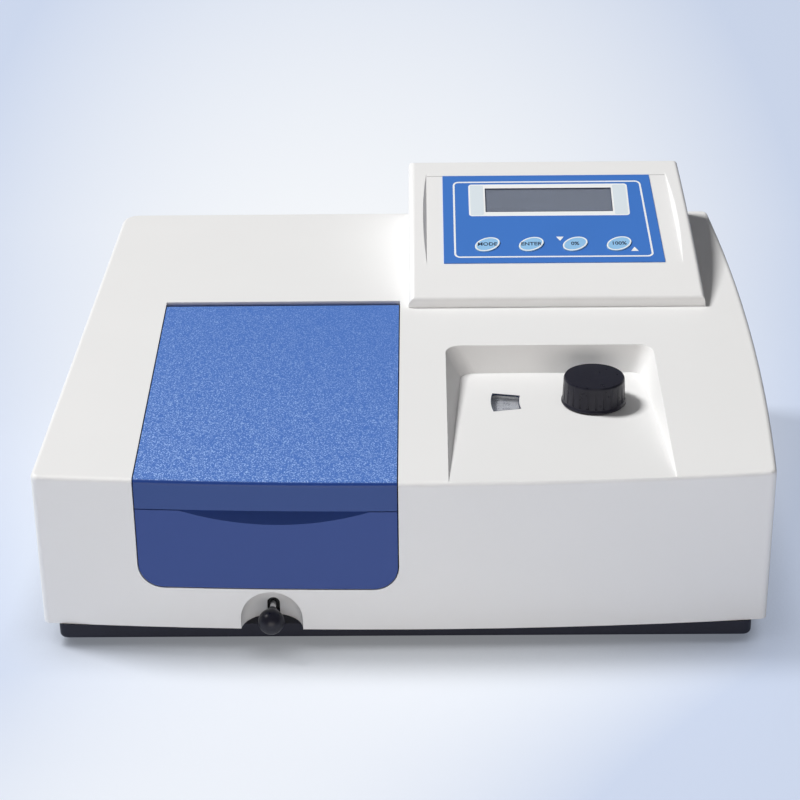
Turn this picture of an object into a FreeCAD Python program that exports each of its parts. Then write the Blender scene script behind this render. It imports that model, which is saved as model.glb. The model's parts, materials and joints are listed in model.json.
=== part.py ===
"""Bench UV-Vis spectrophotometer, modelled as the separate pieces it comes apart into.

Frame: +X to the instrument's right, +Y to its back, +Z up, in millimetres. The origin lies
on the bench under the middle of the instrument. The sample beam runs along X, from the
monochromator on the right, through the sample chamber, to the detector on the left.
"""
import FreeCAD, Part
import math
import os

import Sketcher

Vector = FreeCAD.Vector
Rotation = FreeCAD.Rotation
Placement = FreeCAD.Placement

doc = FreeCAD.newDocument("spectrophotometer")
sheet = doc.addObject("Spreadsheet::Sheet", "Dims")

# Driving dimensions: name, value in millimetres or degrees, what it is.
SIZES = [
    # outer form
    ("front_width", 480.0, "cover width from corner to corner along the front"),
    ("front_middle", -3.45, "x of the middle of the front"),
    ("front_y", -181.0, "y of the foremost point of the bowed front"),
    ("front_bow", 11.0, "how far the front corners lie behind its middle"),
    ("cover_depth", 374.5, "front of the bow to the back"),
    ("front_height", 108.7, "cover height at the front"),
    ("top_rise", 42.7, "how much higher the cover is at the back"),
    ("left_taper", 19.3, "how far the left side leans in towards the back"),
    ("right_taper", 2.5, "how far the right back corner lies inside the front one"),
    ("side_bulge", 8.4, "bulge of the right side between its corners"),
    ("cover_wall", 3.0, "cover wall"),
    ("corner_round", 5.0, "upright corners of the cover"),
    ("back_round", 12.0, "left back corner of the cover"),
    ("top_round", 3.0, "rounding along the top edges"),
    ("post_inset", 27.0, "cover post from the cover's corner"),
    ("post_radius", 5.0, "cover post"),
    ("screw_radius", 1.8, "cover screw"),
    ("screw_bite", 14.0, "cover screw in its post"),
    ("head_radius", 3.6, "screw head"),
    ("head_height", 2.4, "screw head"),
    # base and feet
    ("foot_height", 6.5, "rubber foot below the base"),
    ("foot_radius", 12.0, "rubber foot, at the base"),
    ("foot_toe", 10.0, "rubber foot, at the bench"),
    ("foot_inset", 48.0, "foot from the cover's corner"),
    ("tray_height", 11.0, "black base, visible height"),
    ("tray_plate", 4.0, "plate of the base"),
    ("tray_rim", 5.0, "rim round the base"),
    ("tray_inset", 10.0, "base inside the cover at the sides"),
    ("tray_front_inset", 8.0, "base behind the front of the cover"),
    ("tray_round", 6.0, "corners of the base"),
    ("tray_edge", 2.5, "lower edge of the base"),
    ("rib_width", 4.0, "ribs under the base"),
    ("rib_height", 4.0, "ribs under the base"),
    ("rib_rows", 3, "ribs along the base"),
    ("rib_columns", 5, "ribs across the base"),
    # sample lid and the panel under it
    ("lid_left", -176.3, "x of the lid's left edge"),
    ("lid_width", 169.3, "lid width"),
    ("lid_depth", 233.3, "front of the bow to the lid's rear edge"),
    ("lid_band", 20.0, "height of the lid's front band"),
    ("lid_wall", 3.0, "lid wall"),
    ("lid_skirt", 11.0, "lid side skirts, from the top surface down"),
    ("lid_gap", 0.8, "gap round the lid"),
    ("barrel_radius", 6.5, "rounded rear edge of the lid, which turns on the hinge"),
    ("pin_radius", 1.5, "hinge pin"),
    ("pin_length", 26.0, "hinge pin"),
    ("running_gap", 0.06, "clearance of a shaft in its bore"),
    ("ear_width", 3.2, "hinge ear along the pin"),
    ("ear_gap", 0.6, "clearance beside a hinge ear"),
    ("ear_inset", 26.0, "hinge ear from the lid's side"),
    ("ear_radius", 3.0, "round head of a hinge ear"),
    ("ear_half", 2.5, "half of the hinge ear's shank"),
    ("ear_drop", 14.0, "hinge ear, pin to foot"),
    ("bracket_wall", 2.5, "hinge bracket"),
    ("bracket_height", 26.0, "hinge bracket"),
    ("apron_bottom", 31.0, "lower edge of the front panel above the cover's bottom"),
    ("apron_round", 16.0, "lower corners of the front panel"),
    ("seam_gap", 0.6, "gap between lid and front panel"),
    ("shelf_wall", 2.5, "shelf behind the front panel"),
    ("scoop_width", 135.0, "finger scoop along the seam"),
    ("scoop_drop", 8.2, "finger scoop below the seam"),
    ("scoop_tilt", 40.0, "slope of the scoop's floor, in degrees"),
    # niche of the pull rod
    ("rod_x", -90.5, "x of the pull rod"),
    ("rod_height", 9.0, "pull rod above the cover's bottom"),
    ("rod_radius", 2.0, "pull rod"),
    ("rod_bite", 8.0, "pull rod screwed into its ends"),
    ("ball_radius", 8.6, "pull knob"),
    ("ball_reach", 3.9, "centre of the pull knob in front of the cover"),
    ("neck_radius", 5.0, "neck of the pull knob"),
    ("neck_length", 14.0, "neck of the pull knob, from its centre"),
    ("niche_radius", 20.6, "niche round the pull knob"),
    ("niche_height", 28.2, "top of the niche above the cover's bottom"),
    ("slot_width", 8.5, "slot of the pull rod"),
    # recess of the wavelength knob
    ("recess_left", 26.0, "x of the recess rim, left"),
    ("recess_width", 146.0, "recess rim along x"),
    ("recess_depth", 171.2, "front of the cover to the recess rim at the back"),
    ("recess_left_draft", 0.58, "slope of the left wall"),
    ("recess_right_draft", 0.40, "slope of the right wall"),
    ("recess_back_draft", 0.26, "slope of the back wall"),
    ("recess_round", 11.0, "back corners of the recess"),
    ("knob_x", 127.0, "x of the wavelength knob"),
    ("knob_y", -63.0, "y of the wavelength knob"),
    ("knob_radius", 21.4, "grip of the knob"),
    ("knob_flange", 22.2, "flange of the knob"),
    ("knob_height", 19.4, "knob above the recess floor"),
    ("knob_gap", 0.5, "knob above the recess floor, underside"),
    ("flange_height", 2.4, "flange of the knob"),
    ("knob_edge", 1.2, "rounded upper edge of the knob"),
    ("flute_radius", 0.9, "flutes of the knob"),
    ("flute_count", 24, "flutes of the knob"),
    ("window_inner", 51.0, "window, from the knob's axis"),
    ("window_outer", 70.5, "window, from the knob's axis, far side"),
    ("window_angle", 23.5, "window, degrees of the dial"),
    ("window_rest", 1.2, "pane below the recess floor"),
    ("pane_wall", 1.5, "window pane"),
    # sample chamber
    ("chamber_wall", 3.0, "chamber wall"),
    ("chamber_side_gap", 4.8, "lid edge to the chamber's outer wall"),
    ("chamber_front", 27.0, "front of the bow to the chamber"),
    ("chamber_length", 188.0, "chamber from front to back"),
    ("rim_depth", 9.0, "chamber rim below the top surface"),
    ("rim_width", 6.0, "chamber rim"),
    ("rim_height", 3.0, "chamber rim"),
    ("seal_width", 4.0, "foam seal"),
    ("seal_gap", 0.3, "foam seal to the closed lid"),
    ("beam_y", -90.0, "y of the light beam"),
    ("beam_height", 32.5, "light beam above the cover's bottom"),
    ("beam_radius", 8.0, "windows of the chamber"),
    ("rail_spread", 20.0, "guide rail from the pull rod"),
    ("rail_radius", 3.0, "guide rail"),
    ("bush_radius", 5.0, "bush of the pull rod"),
    ("bush_flange", 7.0, "bush of the pull rod, flange"),
    ("cell_count", 4, "cuvettes"),
    ("cell_pitch", 16.0, "distance between cuvettes"),
    ("cell_well", 12.8, "square well for a cuvette"),
    ("cell_depth", 36.0, "well for a cuvette"),
    ("holder_width", 18.0, "cuvette holder along the beam"),
    ("holder_height", 39.0, "cuvette holder"),
    ("holder_margin", 1.5, "cuvette holder past its end wells"),
    ("aperture_width", 6.0, "light slot of the holder"),
    ("aperture_height", 20.0, "light slot of the holder"),
    ("carriage_width", 63.0, "carriage along the beam"),
    ("carriage_height", 9.0, "carriage"),
    ("carriage_clearance", 1.5, "carriage above the chamber floor"),
    ("carriage_edge", 2.0, "rounded corners of the carriage"),
    # detector
    ("detector_reach", 42.0, "detector housing along the beam"),
    ("detector_width", 44.0, "detector housing along y"),
    ("detector_height", 56.0, "detector housing"),
    ("detector_wall", 2.5, "detector housing wall"),
    ("diode_radius", 9.0, "photodiode"),
    ("diode_length", 12.0, "photodiode"),
    ("diode_brim", 10.8, "photodiode's brim"),
    # monochromator
    ("case_left", 0.0, "x of the monochromator's left wall"),
    ("case_room", 21.0, "grating axis to the monochromator's right side"),
    ("case_front", 21.0, "front of the bow to the monochromator"),
    ("case_depth", 192.0, "monochromator along y"),
    ("case_height", 74.5, "monochromator without its plate"),
    ("case_wall", 4.0, "monochromator wall"),
    ("plate_height", 3.0, "drive plate on the monochromator"),
    ("slit_width", 1.2, "slits"),
    ("slit_height", 12.0, "slits"),
    ("slit_plate", 24.0, "slit plate across"),
    ("slit_wall", 1.0, "slit plate"),
    ("entrance_x", 150.0, "x of the entrance slit"),
    ("mirror_radius", 26.0, "collimating mirror"),
    ("mirror_depth", 8.0, "collimating mirror"),
    ("mirror_x", 46.0, "x of the collimating mirror"),
    ("mirror_room", 40.0, "collimating mirror's back to the back of the monochromator"),
    ("mount_wall", 5.0, "mirror mount"),
    # wavelength drive
    ("shaft_radius", 3.0, "shafts of the drive"),
    ("boss_radius", 7.0, "bearing boss under the drive plate"),
    ("boss_height", 8.0, "bearing boss under the drive plate"),
    ("gear_module", 1.0, "gear module"),
    ("pinion_teeth", 16, "teeth of a pinion"),
    ("wheel_teeth", 48, "teeth of a gear wheel"),
    ("gear_width", 4.0, "gear width"),
    ("gear_start", 1.0, "first gear level above the drive plate"),
    ("gear_step", 5.5, "from one gear level to the next"),
    ("gear_lash", 0.3, "play between teeth"),
    ("hub_radius", 6.0, "hub of the dial gear"),
    ("cam_step", 5.5, "from the dial gear to the cam"),
    ("cam_height", 3.0, "grating cam"),
    ("dial_radius", 72.0, "wavelength dial"),
    ("dial_height", 1.5, "wavelength dial"),
    ("dial_gap", 2.0, "wavelength dial below the recess pan"),
    ("dial_flange", 10.0, "hub flange under the dial"),
    ("arm_pivot", 52.0, "grating axis from the knob's axis"),
    ("arm_length", 42.0, "grating arm, axis to follower"),
    ("arm_angle", 146.0, "grating arm in the middle of its travel, in degrees"),
    ("arm_ratio", 0.1, "grating turn for each turn of the dial"),
    ("arm_width", 8.0, "grating arm"),
    ("arm_height", 3.0, "grating arm"),
    ("follower_radius", 4.0, "follower on the cam"),
    ("cam_gap", 0.3, "follower to cam"),
    ("cam_sweep", 330.0, "degrees of the cam's curve"),
    ("table_radius", 14.0, "grating table"),
    ("table_height", 4.0, "grating table"),
    ("table_level", 16.0, "grating table above the case floor"),
    ("grating_size", 25.0, "grating across"),
    ("grating_depth", 7.0, "grating"),
    # lamp house
    ("lamp_left", 112.0, "x of the lamp house"),
    ("lamp_width", 108.0, "lamp house along x"),
    ("lamp_gap", 13.0, "monochromator to lamp house"),
    ("lamp_depth", 100.0, "lamp house along y"),
    ("lamp_height", 100.0, "lamp house"),
    ("lamp_wall", 2.0, "lamp house wall"),
    ("bulb_radius", 9.0, "halogen lamp"),
    ("bulb_length", 34.0, "halogen lamp"),
    ("arc_radius", 14.0, "deuterium lamp"),
    ("arc_length", 56.0, "deuterium lamp"),
    ("socket_height", 14.0, "lamp socket"),
    ("vent_width", 4.0, "vent slot"),
    ("vent_pitch", 8.0, "vent slots, one to the next"),
    ("lamp_vents", 5, "vent slots of the lamp house"),
    # electronics
    ("core_left", -62.0, "x of the transformer"),
    ("core_width", 72.0, "transformer along x"),
    ("core_depth", 62.0, "transformer along y"),
    ("core_height", 60.0, "transformer"),
    ("core_start", 275.0, "front of the bow to the transformer"),
    ("coil_swell", 8.0, "winding past the transformer's core"),
    ("board_left", -188.0, "x of the main board"),
    ("board_width", 108.0, "main board along x"),
    ("board_start", 245.0, "front of the bow to the main board"),
    ("board_depth", 92.0, "main board along y"),
    ("board_wall", 1.6, "circuit board"),
    ("board_rise", 8.0, "main board above the base"),
    ("standoff_radius", 3.0, "board standoff"),
    # rear panel
    ("panel_left", -195.0, "x of the opening in the cover's back"),
    ("panel_width", 400.0, "opening in the cover's back"),
    ("panel_height", 92.0, "opening in the cover's back"),
    ("panel_lap", 4.0, "rear panel past the opening"),
    ("panel_wall", 2.0, "rear panel"),
    ("panel_vents", 7, "vent slots of the rear panel"),
    ("fan_x", 160.0, "x of the fan"),
    ("fan_height", 42.0, "fan axis above the cover's bottom"),
    ("fan_size", 60.0, "fan across"),
    ("fan_depth", 15.0, "fan along its axis"),
    ("fan_bore", 28.0, "fan opening"),
    ("fan_hub", 11.0, "fan hub"),
    ("fan_shaft", 2.0, "fan shaft"),
    ("blade_count", 5, "fan blades"),
    ("blade_wall", 1.6, "fan blade"),
    ("blade_gap", 1.0, "fan blade to the fan's frame"),
    ("inlet_x", -150.0, "x of the mains inlet"),
    ("inlet_width", 30.0, "mains inlet across"),
    ("inlet_height", 24.0, "mains inlet"),
    ("inlet_depth", 24.0, "mains inlet behind the panel"),
    ("inlet_flange", 4.0, "mains inlet flange"),
    ("flange_wall", 1.5, "flanges on the rear panel"),
    ("inlet_level", 30.0, "rear fittings above the cover's bottom"),
    ("switch_x", -105.0, "x of the power switch"),
    ("switch_width", 16.0, "power switch across"),
    ("switch_height", 24.0, "power switch"),
    ("switch_depth", 20.0, "power switch behind the panel"),
    ("rocker_radius", 10.0, "rocker of the power switch"),
    ("rocker_gap", 0.4, "rocker in its housing"),
    ("rocker_tip", 8.0, "rocker at rest, from its middle, in degrees"),
    ("fuse_x", -70.0, "x of the fuse holder"),
    ("fuse_radius", 7.0, "fuse holder"),
    ("fuse_length", 30.0, "fuse holder behind the panel"),
    ("socket_x", -20.0, "x of the data socket"),
    ("socket_width", 31.0, "data socket across"),
    ("socket_tall", 12.5, "data socket"),
    ("shell_width", 17.0, "data socket, metal shell"),
    ("shell_tall", 8.6, "data socket, metal shell"),
    ("socket_depth", 10.0, "data socket behind the panel"),
    # display housing
    ("pod_left", -0.1, "x of the display housing's upright left side"),
    ("pod_width", 213.5, "display housing at its foot"),
    ("pod_start", 223.5, "front of the bow to the display housing"),
    ("pod_depth", 146.5, "display housing"),
    ("pod_lip", 7.0, "front lip of the display housing"),
    ("pod_top", 212.8, "top of the display housing above the bench"),
    ("pod_arch", 6.0, "arch of the sloping top"),
    ("pod_draft", 0.13, "lean of the housing's right side"),
    ("pod_wall", 2.5, "display housing wall"),
    ("pod_round", 3.0, "upper edges of the display housing"),
    ("pod_left_round", 5.0, "upper left edge of the display housing"),
    ("panel_start", 32.6, "lower edge of the sunk panel, up the slope"),
    ("panel_end", 138.0, "upper edge of the sunk panel, up the slope"),
    ("panel_lean", 0.043, "inward slope of the right edges of panel and overlay"),
    ("sunk_left", 93.0, "sunk panel, left of the housing's middle"),
    ("sunk_right", 94.8, "sunk panel, right of the middle at its lower edge"),
    ("sunk_draft", 1.0, "slope of the sunk panel's side walls"),
    ("overlay_left", 80.6, "blue overlay, left of the housing's middle"),
    ("overlay_right", 82.0, "blue overlay, right of the middle at its lower edge"),
    ("overlay_start", 0.7, "blue overlay from the panel's lower edge"),
    ("overlay_length", 100.7, "blue overlay up the slope"),
    ("overlay_wall", 0.6, "blue overlay"),
    ("display_left", 48.5, "display window, left of the housing's middle"),
    ("display_width", 96.0, "display window"),
    ("display_length", 27.8, "display window up the slope"),
    ("display_start", 58.3, "display window from the panel's lower edge"),
    ("module_margin", 6.0, "display module past its window"),
    ("module_depth", 7.0, "display module under the housing wall"),
    ("key_count", 4, "keys"),
    ("key_pitch", 32.5, "key to key"),
    ("key_shift", 0.6, "row of keys from the housing's middle"),
    ("key_start", 20.7, "keys from the panel's lower edge"),
    ("key_width", 20.0, "key, long axis"),
    ("key_length", 14.0, "key, short axis"),
    ("key_turn", 30.0, "turn of a key's long axis, in degrees"),
    ("key_gap", 0.35, "key in its hole"),
    ("key_proud", 0.7, "key above the overlay"),
    ("key_lip", 1.2, "key flange past the hole"),
    ("key_flange", 1.6, "key flange"),
    ("key_travel", 0.6, "key travel"),
    ("board_margin", 4.0, "display board past the overlay"),
]


class Dim:
    """A size that keeps both its value and the sheet expression it comes from."""

    def __init__(self, value, text):
        self.value = float(value)
        self.text = text

    def __add__(self, other):
        return Dim(self.value + val(other), "(%s + %s)" % (self.text, txt(other)))

    def __radd__(self, other):
        return Dim(val(other) + self.value, "(%s + %s)" % (txt(other), self.text))

    def __sub__(self, other):
        return Dim(self.value - val(other), "(%s - %s)" % (self.text, txt(other)))

    def __rsub__(self, other):
        return Dim(val(other) - self.value, "(%s - %s)" % (txt(other), self.text))

    def __mul__(self, other):
        return Dim(self.value * val(other), "(%s * %s)" % (self.text, txt(other)))

    __rmul__ = __mul__

    def __truediv__(self, other):
        return Dim(self.value / val(other), "(%s / %s)" % (self.text, txt(other)))

    def __neg__(self):
        return Dim(-self.value, "(-%s)" % self.text)


def val(size):
    """The number that a size stands for."""
    return size.value if isinstance(size, Dim) else float(size)


def txt(size):
    """The expression that a size stands for."""
    return size.text if isinstance(size, Dim) else "(%.9g)" % size


def root(size):
    return Dim(math.sqrt(val(size)), "sqrt(%s)" % txt(size))


def sine(angle):
    return Dim(math.sin(math.radians(val(angle))), "sin(%s)" % txt(angle))


def cosine(angle):
    return Dim(math.cos(math.radians(val(angle))), "cos(%s)" % txt(angle))


def arctangent(slope):
    """The angle in degrees whose tangent is slope."""
    return Dim(math.degrees(math.atan(val(slope))), "(atan(%s) / 1 deg)" % txt(slope))


class Dims:
    """The sheet's sizes as attributes."""


for row, (alias, number, note) in enumerate(SIZES, start=1):
    sheet.set("A%d" % row, note)
    sheet.set("B%d" % row, "%.9g" % number)
    sheet.setAlias("B%d" % row, alias)
    setattr(Dims, alias, Dim(number, "Dims." + alias))
doc.recompute()
d = Dims
nodes = {}


# Building blocks.

def bind(thing, **sizes):
    """Ties properties of an object to expressions over the sheet."""
    for prop, size in sizes.items():
        if isinstance(size, Dim):
            thing.setExpression(prop, size.text)
        else:
            setattr(thing, prop, size)


def place(thing, x=0, y=0, z=0, axis=None, angle=0):
    """Sets an object's placement and ties it to the sheet."""
    if axis is not None:
        thing.Placement = Placement(Vector(0, 0, 0), Rotation(Vector(*axis), 30.0))
        thing.setExpression(".Placement.Rotation.Angle", txt(angle))
    for name, size in (("x", x), ("y", y), ("z", z)):
        thing.setExpression(".Placement.Base." + name, txt(size))
    return thing


def block(name, x, y, z, dx, dy, dz):
    """A box given by its lowest corner and its sides."""
    box = doc.addObject("Part::Box", name)
    bind(box, Length=dx, Width=dy, Height=dz)
    return place(box, x, y, z)


AXES = {"x": ((0, 1, 0), 90), "y": ((1, 0, 0), -90), "z": (None, 0)}


def rod(name, x, y, z, radius, length, along="z"):
    """A cylinder that starts at a point and runs along a positive axis."""
    cylinder = doc.addObject("Part::Cylinder", name)
    bind(cylinder, Radius=radius, Height=length)
    axis, angle = AXES[along]
    return place(cylinder, x, y, z, axis, angle)


def cone(name, x, y, z, radius, end_radius, length, along="z"):
    """A truncated cone that starts at a point and runs along a positive axis."""
    made = doc.addObject("Part::Cone", name)
    bind(made, Radius1=radius, Radius2=end_radius, Height=length)
    axis, angle = AXES[along]
    return place(made, x, y, z, axis, angle)


def ball(name, x, y, z, radius):
    made = doc.addObject("Part::Sphere", name)
    bind(made, Radius=radius)
    return place(made, x, y, z)


def fuse(name, *things):
    made = doc.addObject("Part::MultiFuse", name)
    made.Shapes = list(things)
    return made


def common(name, *things):
    made = doc.addObject("Part::MultiCommon", name)
    made.Shapes = list(things)
    return made


def cut(name, base, *tools):
    made = doc.addObject("Part::Cut", name)
    made.Base = base
    made.Tool = tools[0] if len(tools) == 1 else fuse(name + "_tools", *tools)
    return made


def group(name, *things):
    """Separate solids kept together in one node."""
    made = doc.addObject("Part::Compound", name)
    made.Links = list(things)
    return made


def extrude(name, sketch, length, direction=(0, 0, 1)):
    made = doc.addObject("Part::Extrusion", name)
    made.Base = sketch
    made.DirMode = "Custom"
    made.Dir = Vector(*direction)
    made.Solid = True
    bind(made, LengthFwd=length)
    return made


def fillet(name, base, *choices):
    """Rounds edges; each choice is a radius and a test that an edge has to pass."""
    doc.recompute()
    made = doc.addObject("Part::Fillet", name)
    made.Base = base
    edges = []
    for index, edge in enumerate(base.Shape.Edges, start=1):
        for radius, test in choices:
            if test(edge):
                edges.append((index, val(radius), val(radius)))
                break
    made.Edges = edges
    return made


def middle(edge):
    """The point halfway along an edge."""
    return edge.valueAt((edge.FirstParameter + edge.LastParameter) / 2)


def direction_of(edge):
    first, last = edge.valueAt(edge.FirstParameter), edge.valueAt(edge.LastParameter)
    return (last - first).normalize()


def is_upright(edge):
    return abs(direction_of(edge).z) > 0.999


PLANES = {
    "xy": Rotation(),
    "xz": Rotation(Vector(1, 0, 0), 90),
    "yz": Rotation(Vector(1, 1, 1), 120),
}


def locate(sketch, geometry, point, corner):
    """Pins a sketch point at x and y from the sketch's origin."""
    for kind, size in (("DistanceX", corner[0]), ("DistanceY", corner[1])):
        pin = Sketcher.Constraint(kind, -1, 1, geometry, point, val(size))
        index = sketch.addConstraint(pin)
        if isinstance(size, Dim):
            sketch.setExpression("Constraints[%d]" % index, size.text)


def set_radius(sketch, geometry, radius):
    index = sketch.addConstraint(Sketcher.Constraint("Radius", geometry, val(radius)))
    if isinstance(radius, Dim):
        sketch.setExpression("Constraints[%d]" % index, radius.text)


def outline(sketch, corners):
    """A closed outline. A corner's third number bulges the side that follows outwards."""
    points = [Vector(val(c[0]), val(c[1]), 0) for c in corners]
    first = sketch.GeometryCount
    for i, corner in enumerate(corners):
        a, b = points[i], points[(i + 1) % len(points)]
        if len(corner) == 2:
            sketch.addGeometry(Part.LineSegment(a, b), False)
            continue
        side = (b - a).cross(Vector(0, 0, 1)).normalize()
        crown = (a + b) * 0.5 + side * val(corner[2])
        sketch.addGeometry(Part.Arc(a, crown, b), False)
    for i in range(len(corners)):
        after = (i + 1) % len(corners)
        joined = Sketcher.Constraint("Coincident", first + i, 2, first + after, 1)
        sketch.addConstraint(joined)
    for i, corner in enumerate(corners):
        locate(sketch, first + i, 1, corner)
        if len(corner) == 3:
            nxt = corners[(i + 1) % len(corners)]
            run, rise = nxt[0] - corner[0], nxt[1] - corner[1]
            bulge = corner[2]
            set_radius(
                sketch,
                first + i,
                ((run * run + rise * rise) / 4 + bulge * bulge) / (2 * bulge),
            )


def circle(sketch, x, y, radius):
    shape = Part.Circle(Vector(val(x), val(y), 0), Vector(0, 0, 1), val(radius))
    index = sketch.addGeometry(shape, False)
    locate(sketch, index, 3, (x, y))
    set_radius(sketch, index, radius)


def profile(name, plane, corners, x=0, y=0, z=0):
    """A free sketch on a plane through a point, with one closed outline."""
    sketch = doc.addObject("Sketcher::SketchObject", name)
    sketch.Placement = Placement(Vector(0, 0, 0), PLANES[plane])
    for axis, size in (("x", x), ("y", y), ("z", z)):
        sketch.setExpression(".Placement.Base." + axis, txt(size))
    outline(sketch, corners)
    return sketch


def new_body(label):
    return doc.addObject("PartDesign::Body", label)


def body_sketch(body, name, role, offset=0):
    """A sketch on one of the body's own origin planes."""
    sketch = body.newObject("Sketcher::SketchObject", name)
    plane = [f for f in body.Origin.OriginFeatures if f.Role == role][0]
    sketch.AttachmentSupport = (plane, [""])
    sketch.MapMode = "FlatFace"
    sketch.setExpression(".AttachmentOffset.Base.z", txt(offset))
    return sketch


def add_feature(body, kind, name, sketch, **sizes):
    feature = body.newObject("PartDesign::" + kind, name)
    feature.Profile = sketch
    bind(feature, **sizes)
    return feature


def revolve(body, name, corners):
    """A body's revolved form; the outline is radius and height from the body's origin."""
    sketch = body_sketch(body, name + "_section", "XZ_Plane")
    outline(sketch, corners)
    turned = body.newObject("PartDesign::Revolution", name)
    turned.Profile = sketch
    turned.ReferenceAxis = (sketch, ["V_Axis"])
    turned.Angle = 360.0
    return turned


def polar(body, feature, sketch, count):
    """Repeats a feature round the body's upright axis."""
    pattern = body.newObject("PartDesign::PolarPattern", feature.Name + "_ring")
    pattern.Originals = [feature]
    pattern.Axis = (sketch, ["N_Axis"])
    pattern.Angle = 360.0
    pattern.setExpression("Occurrences", txt(count))
    body.Tip = pattern
    return pattern


# Levels and lines that many pieces share.
floor_z = d.foot_height + d.tray_height
back_y = d.front_y + d.cover_depth
slope = d.top_rise / d.cover_depth
tilt = arctangent(slope)
front_left = d.front_middle - d.front_width / 2
front_right = d.front_middle + d.front_width / 2
lid_right = d.lid_left + d.lid_width
lid_back = d.front_y + d.lid_depth
seam_z = floor_z + d.front_height - d.lid_band
apron_z = floor_z + d.apron_bottom
rod_z = floor_z + d.rod_height
beam_z = floor_z + d.beam_height
recess_z = floor_z + d.front_height
FAR = 40.0  # how far a cutting tool runs past the piece
NEAR = 1.0  # how far a short cutting tool runs past a face


def top_z(y):
    """Height of the cover's top surface at y."""
    return recess_z + slope * (y - d.front_y)


def slab(name, x, dx, y0, y1, depth0, depth1):
    """A plate parallel to the top surface, between two depths below it."""
    corners = [
        (y0, top_z(y0) - depth1),
        (y1, top_z(y1) - depth1),
        (y1, top_z(y1) - depth0),
        (y0, top_z(y0) - depth0),
    ]
    return extrude(name, profile(name + "_side", "yz", corners, x=x), dx, (1, 0, 0))


# Outer form, shared by cover, lid and front panel.

def form(name, inset, bottom, front_round, back_round):
    """The cover's outer form, moved in by inset, from bottom up to the sloping top."""
    corner_y = d.front_y + d.front_bow
    plan = profile(
        name + "_plan",
        "xy",
        [
            (front_left + inset, corner_y + inset, d.front_bow),
            (front_right - inset, corner_y + inset, d.side_bulge),
            (front_right - d.right_taper - inset, back_y - inset),
            (front_left + d.left_taper + inset, back_y - inset),
        ],
        z=bottom,
    )
    column = extrude(name + "_column", plan, top_z(back_y) + FAR - bottom)
    corners = fillet(
        name + "_corners",
        column,
        (back_round, lambda e: is_upright(e) and middle(e).x < 0 and middle(e).y > 0),
        (front_round, is_upright),
    )
    under = slab(
        name + "_under",
        front_left - FAR,
        d.front_width + 2 * FAR,
        d.front_y - FAR,
        back_y + FAR,
        inset,
        d.front_height + d.top_rise + FAR,
    )
    return common(name, corners, under)


outer_block = form("outer_block", 0, floor_z, d.corner_round, d.back_round)


def on_top(edge):
    """True for an edge in the outer block's sloping top."""
    p = middle(edge)
    return abs(p.z - val(top_z(0)) - val(slope) * p.y) < 0.01


outer_form = fillet("outer_form", outer_block, (d.top_round, on_top))
inner_form = form(
    "inner_form",
    d.cover_wall,
    floor_z - FAR,
    d.corner_round - d.cover_wall,
    d.back_round - d.cover_wall,
)


def recess_form(name, grow):
    """The drafted hollow round the wavelength knob; grow makes it larger by a wall."""

    def rim(part, depth):
        sketch = doc.addObject("Sketcher::SketchObject", name + part)
        place(sketch, 0, d.front_y, recess_z - depth, (1, 0, 0), tilt)
        left = d.recess_left + depth * d.recess_left_draft - grow
        right = d.recess_left + d.recess_width - depth * d.recess_right_draft + grow
        back = d.recess_depth - depth * d.recess_back_draft + grow
        outline(sketch, [(left, -FAR), (right, -FAR), (right, back), (left, back)])
        return sketch

    loft = doc.addObject("Part::Loft", name + "_loft")
    loft.Sections = [rim("_low", d.top_rise), rim("_high", -d.top_round)]
    loft.Solid = True
    loft.Ruled = True
    half_way = val(d.front_y + d.recess_depth / 2)
    soft = fillet(
        name + "_soft",
        loft,
        (
            d.recess_round + grow,
            lambda e: abs(direction_of(e).z) > 0.5 and middle(e).y > half_way,
        ),
    )
    above = block(
        name + "_above",
        front_left,
        d.front_y - FAR,
        recess_z - grow,
        d.front_width,
        d.cover_depth,
        d.top_rise + FAR,
    )
    return common(name, soft, above)


def niche_form(name, grow):
    """The hollow round the pull knob: a round well with a domed top."""
    radius = d.niche_radius + grow
    dome_z = floor_z + d.niche_height - d.niche_radius
    bottom = floor_z - FAR
    well = rod(name + "_well", d.rod_x, d.front_y, bottom, radius, dome_z - bottom)
    dome = ball(name + "_dome", d.rod_x, d.front_y, dome_z, radius)
    return fuse(name, well, dome)


def front_opening(name, grow, top, y_end):
    """An upright prism through the front with rounded lower corners."""
    sketch = profile(
        name + "_face",
        "xz",
        [
            (d.lid_left - grow, apron_z - grow),
            (lid_right + grow, apron_z - grow),
            (lid_right + grow, top),
            (d.lid_left - grow, top),
        ],
        y=d.front_y - FAR,
    )
    prism = extrude(name + "_prism", sketch, y_end - d.front_y + FAR, (0, 1, 0))
    low = val(apron_z) + 0.1
    return fillet(
        name,
        prism,
        (
            d.apron_round + grow,
            lambda e: abs(direction_of(e).y) > 0.9 and middle(e).z < low,
        ),
    )


def post_spots():
    """The four cover posts, in the corners of the cover."""
    front, back = d.front_y + d.post_inset, back_y - d.post_inset
    left, right = front_left + d.post_inset, front_right - d.post_inset
    return [
        (left, front),
        (right, front),
        (right - d.right_taper, back),
        (left + d.left_taper, back),
    ]


def sector(name, inner, outer, x, y, z, height):
    """A piece of a flat ring round the knob's axis, centred on its left side."""
    half_turn = 180.0
    ring = cut(
        name + "_ring",
        rod(name + "_outer", x, y, z, outer, height),
        rod(name + "_inner", x, y, z - NEAR, inner, height + 2 * NEAR),
    )
    wedge = doc.addObject("Part::Cylinder", name + "_wedge")
    bind(wedge, Radius=outer + NEAR, Height=height, Angle=d.window_angle)
    place(wedge, x, y, z, (0, 0, 1), half_turn - d.window_angle / 2)
    return common(name, ring, wedge)


# Upper cover.

def window_form(name, grow, z, height):
    """The sector-shaped window beside the knob."""
    return sector(
        name, d.window_inner - grow, d.window_outer + grow, d.knob_x, d.knob_y, z, height
    )


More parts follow.
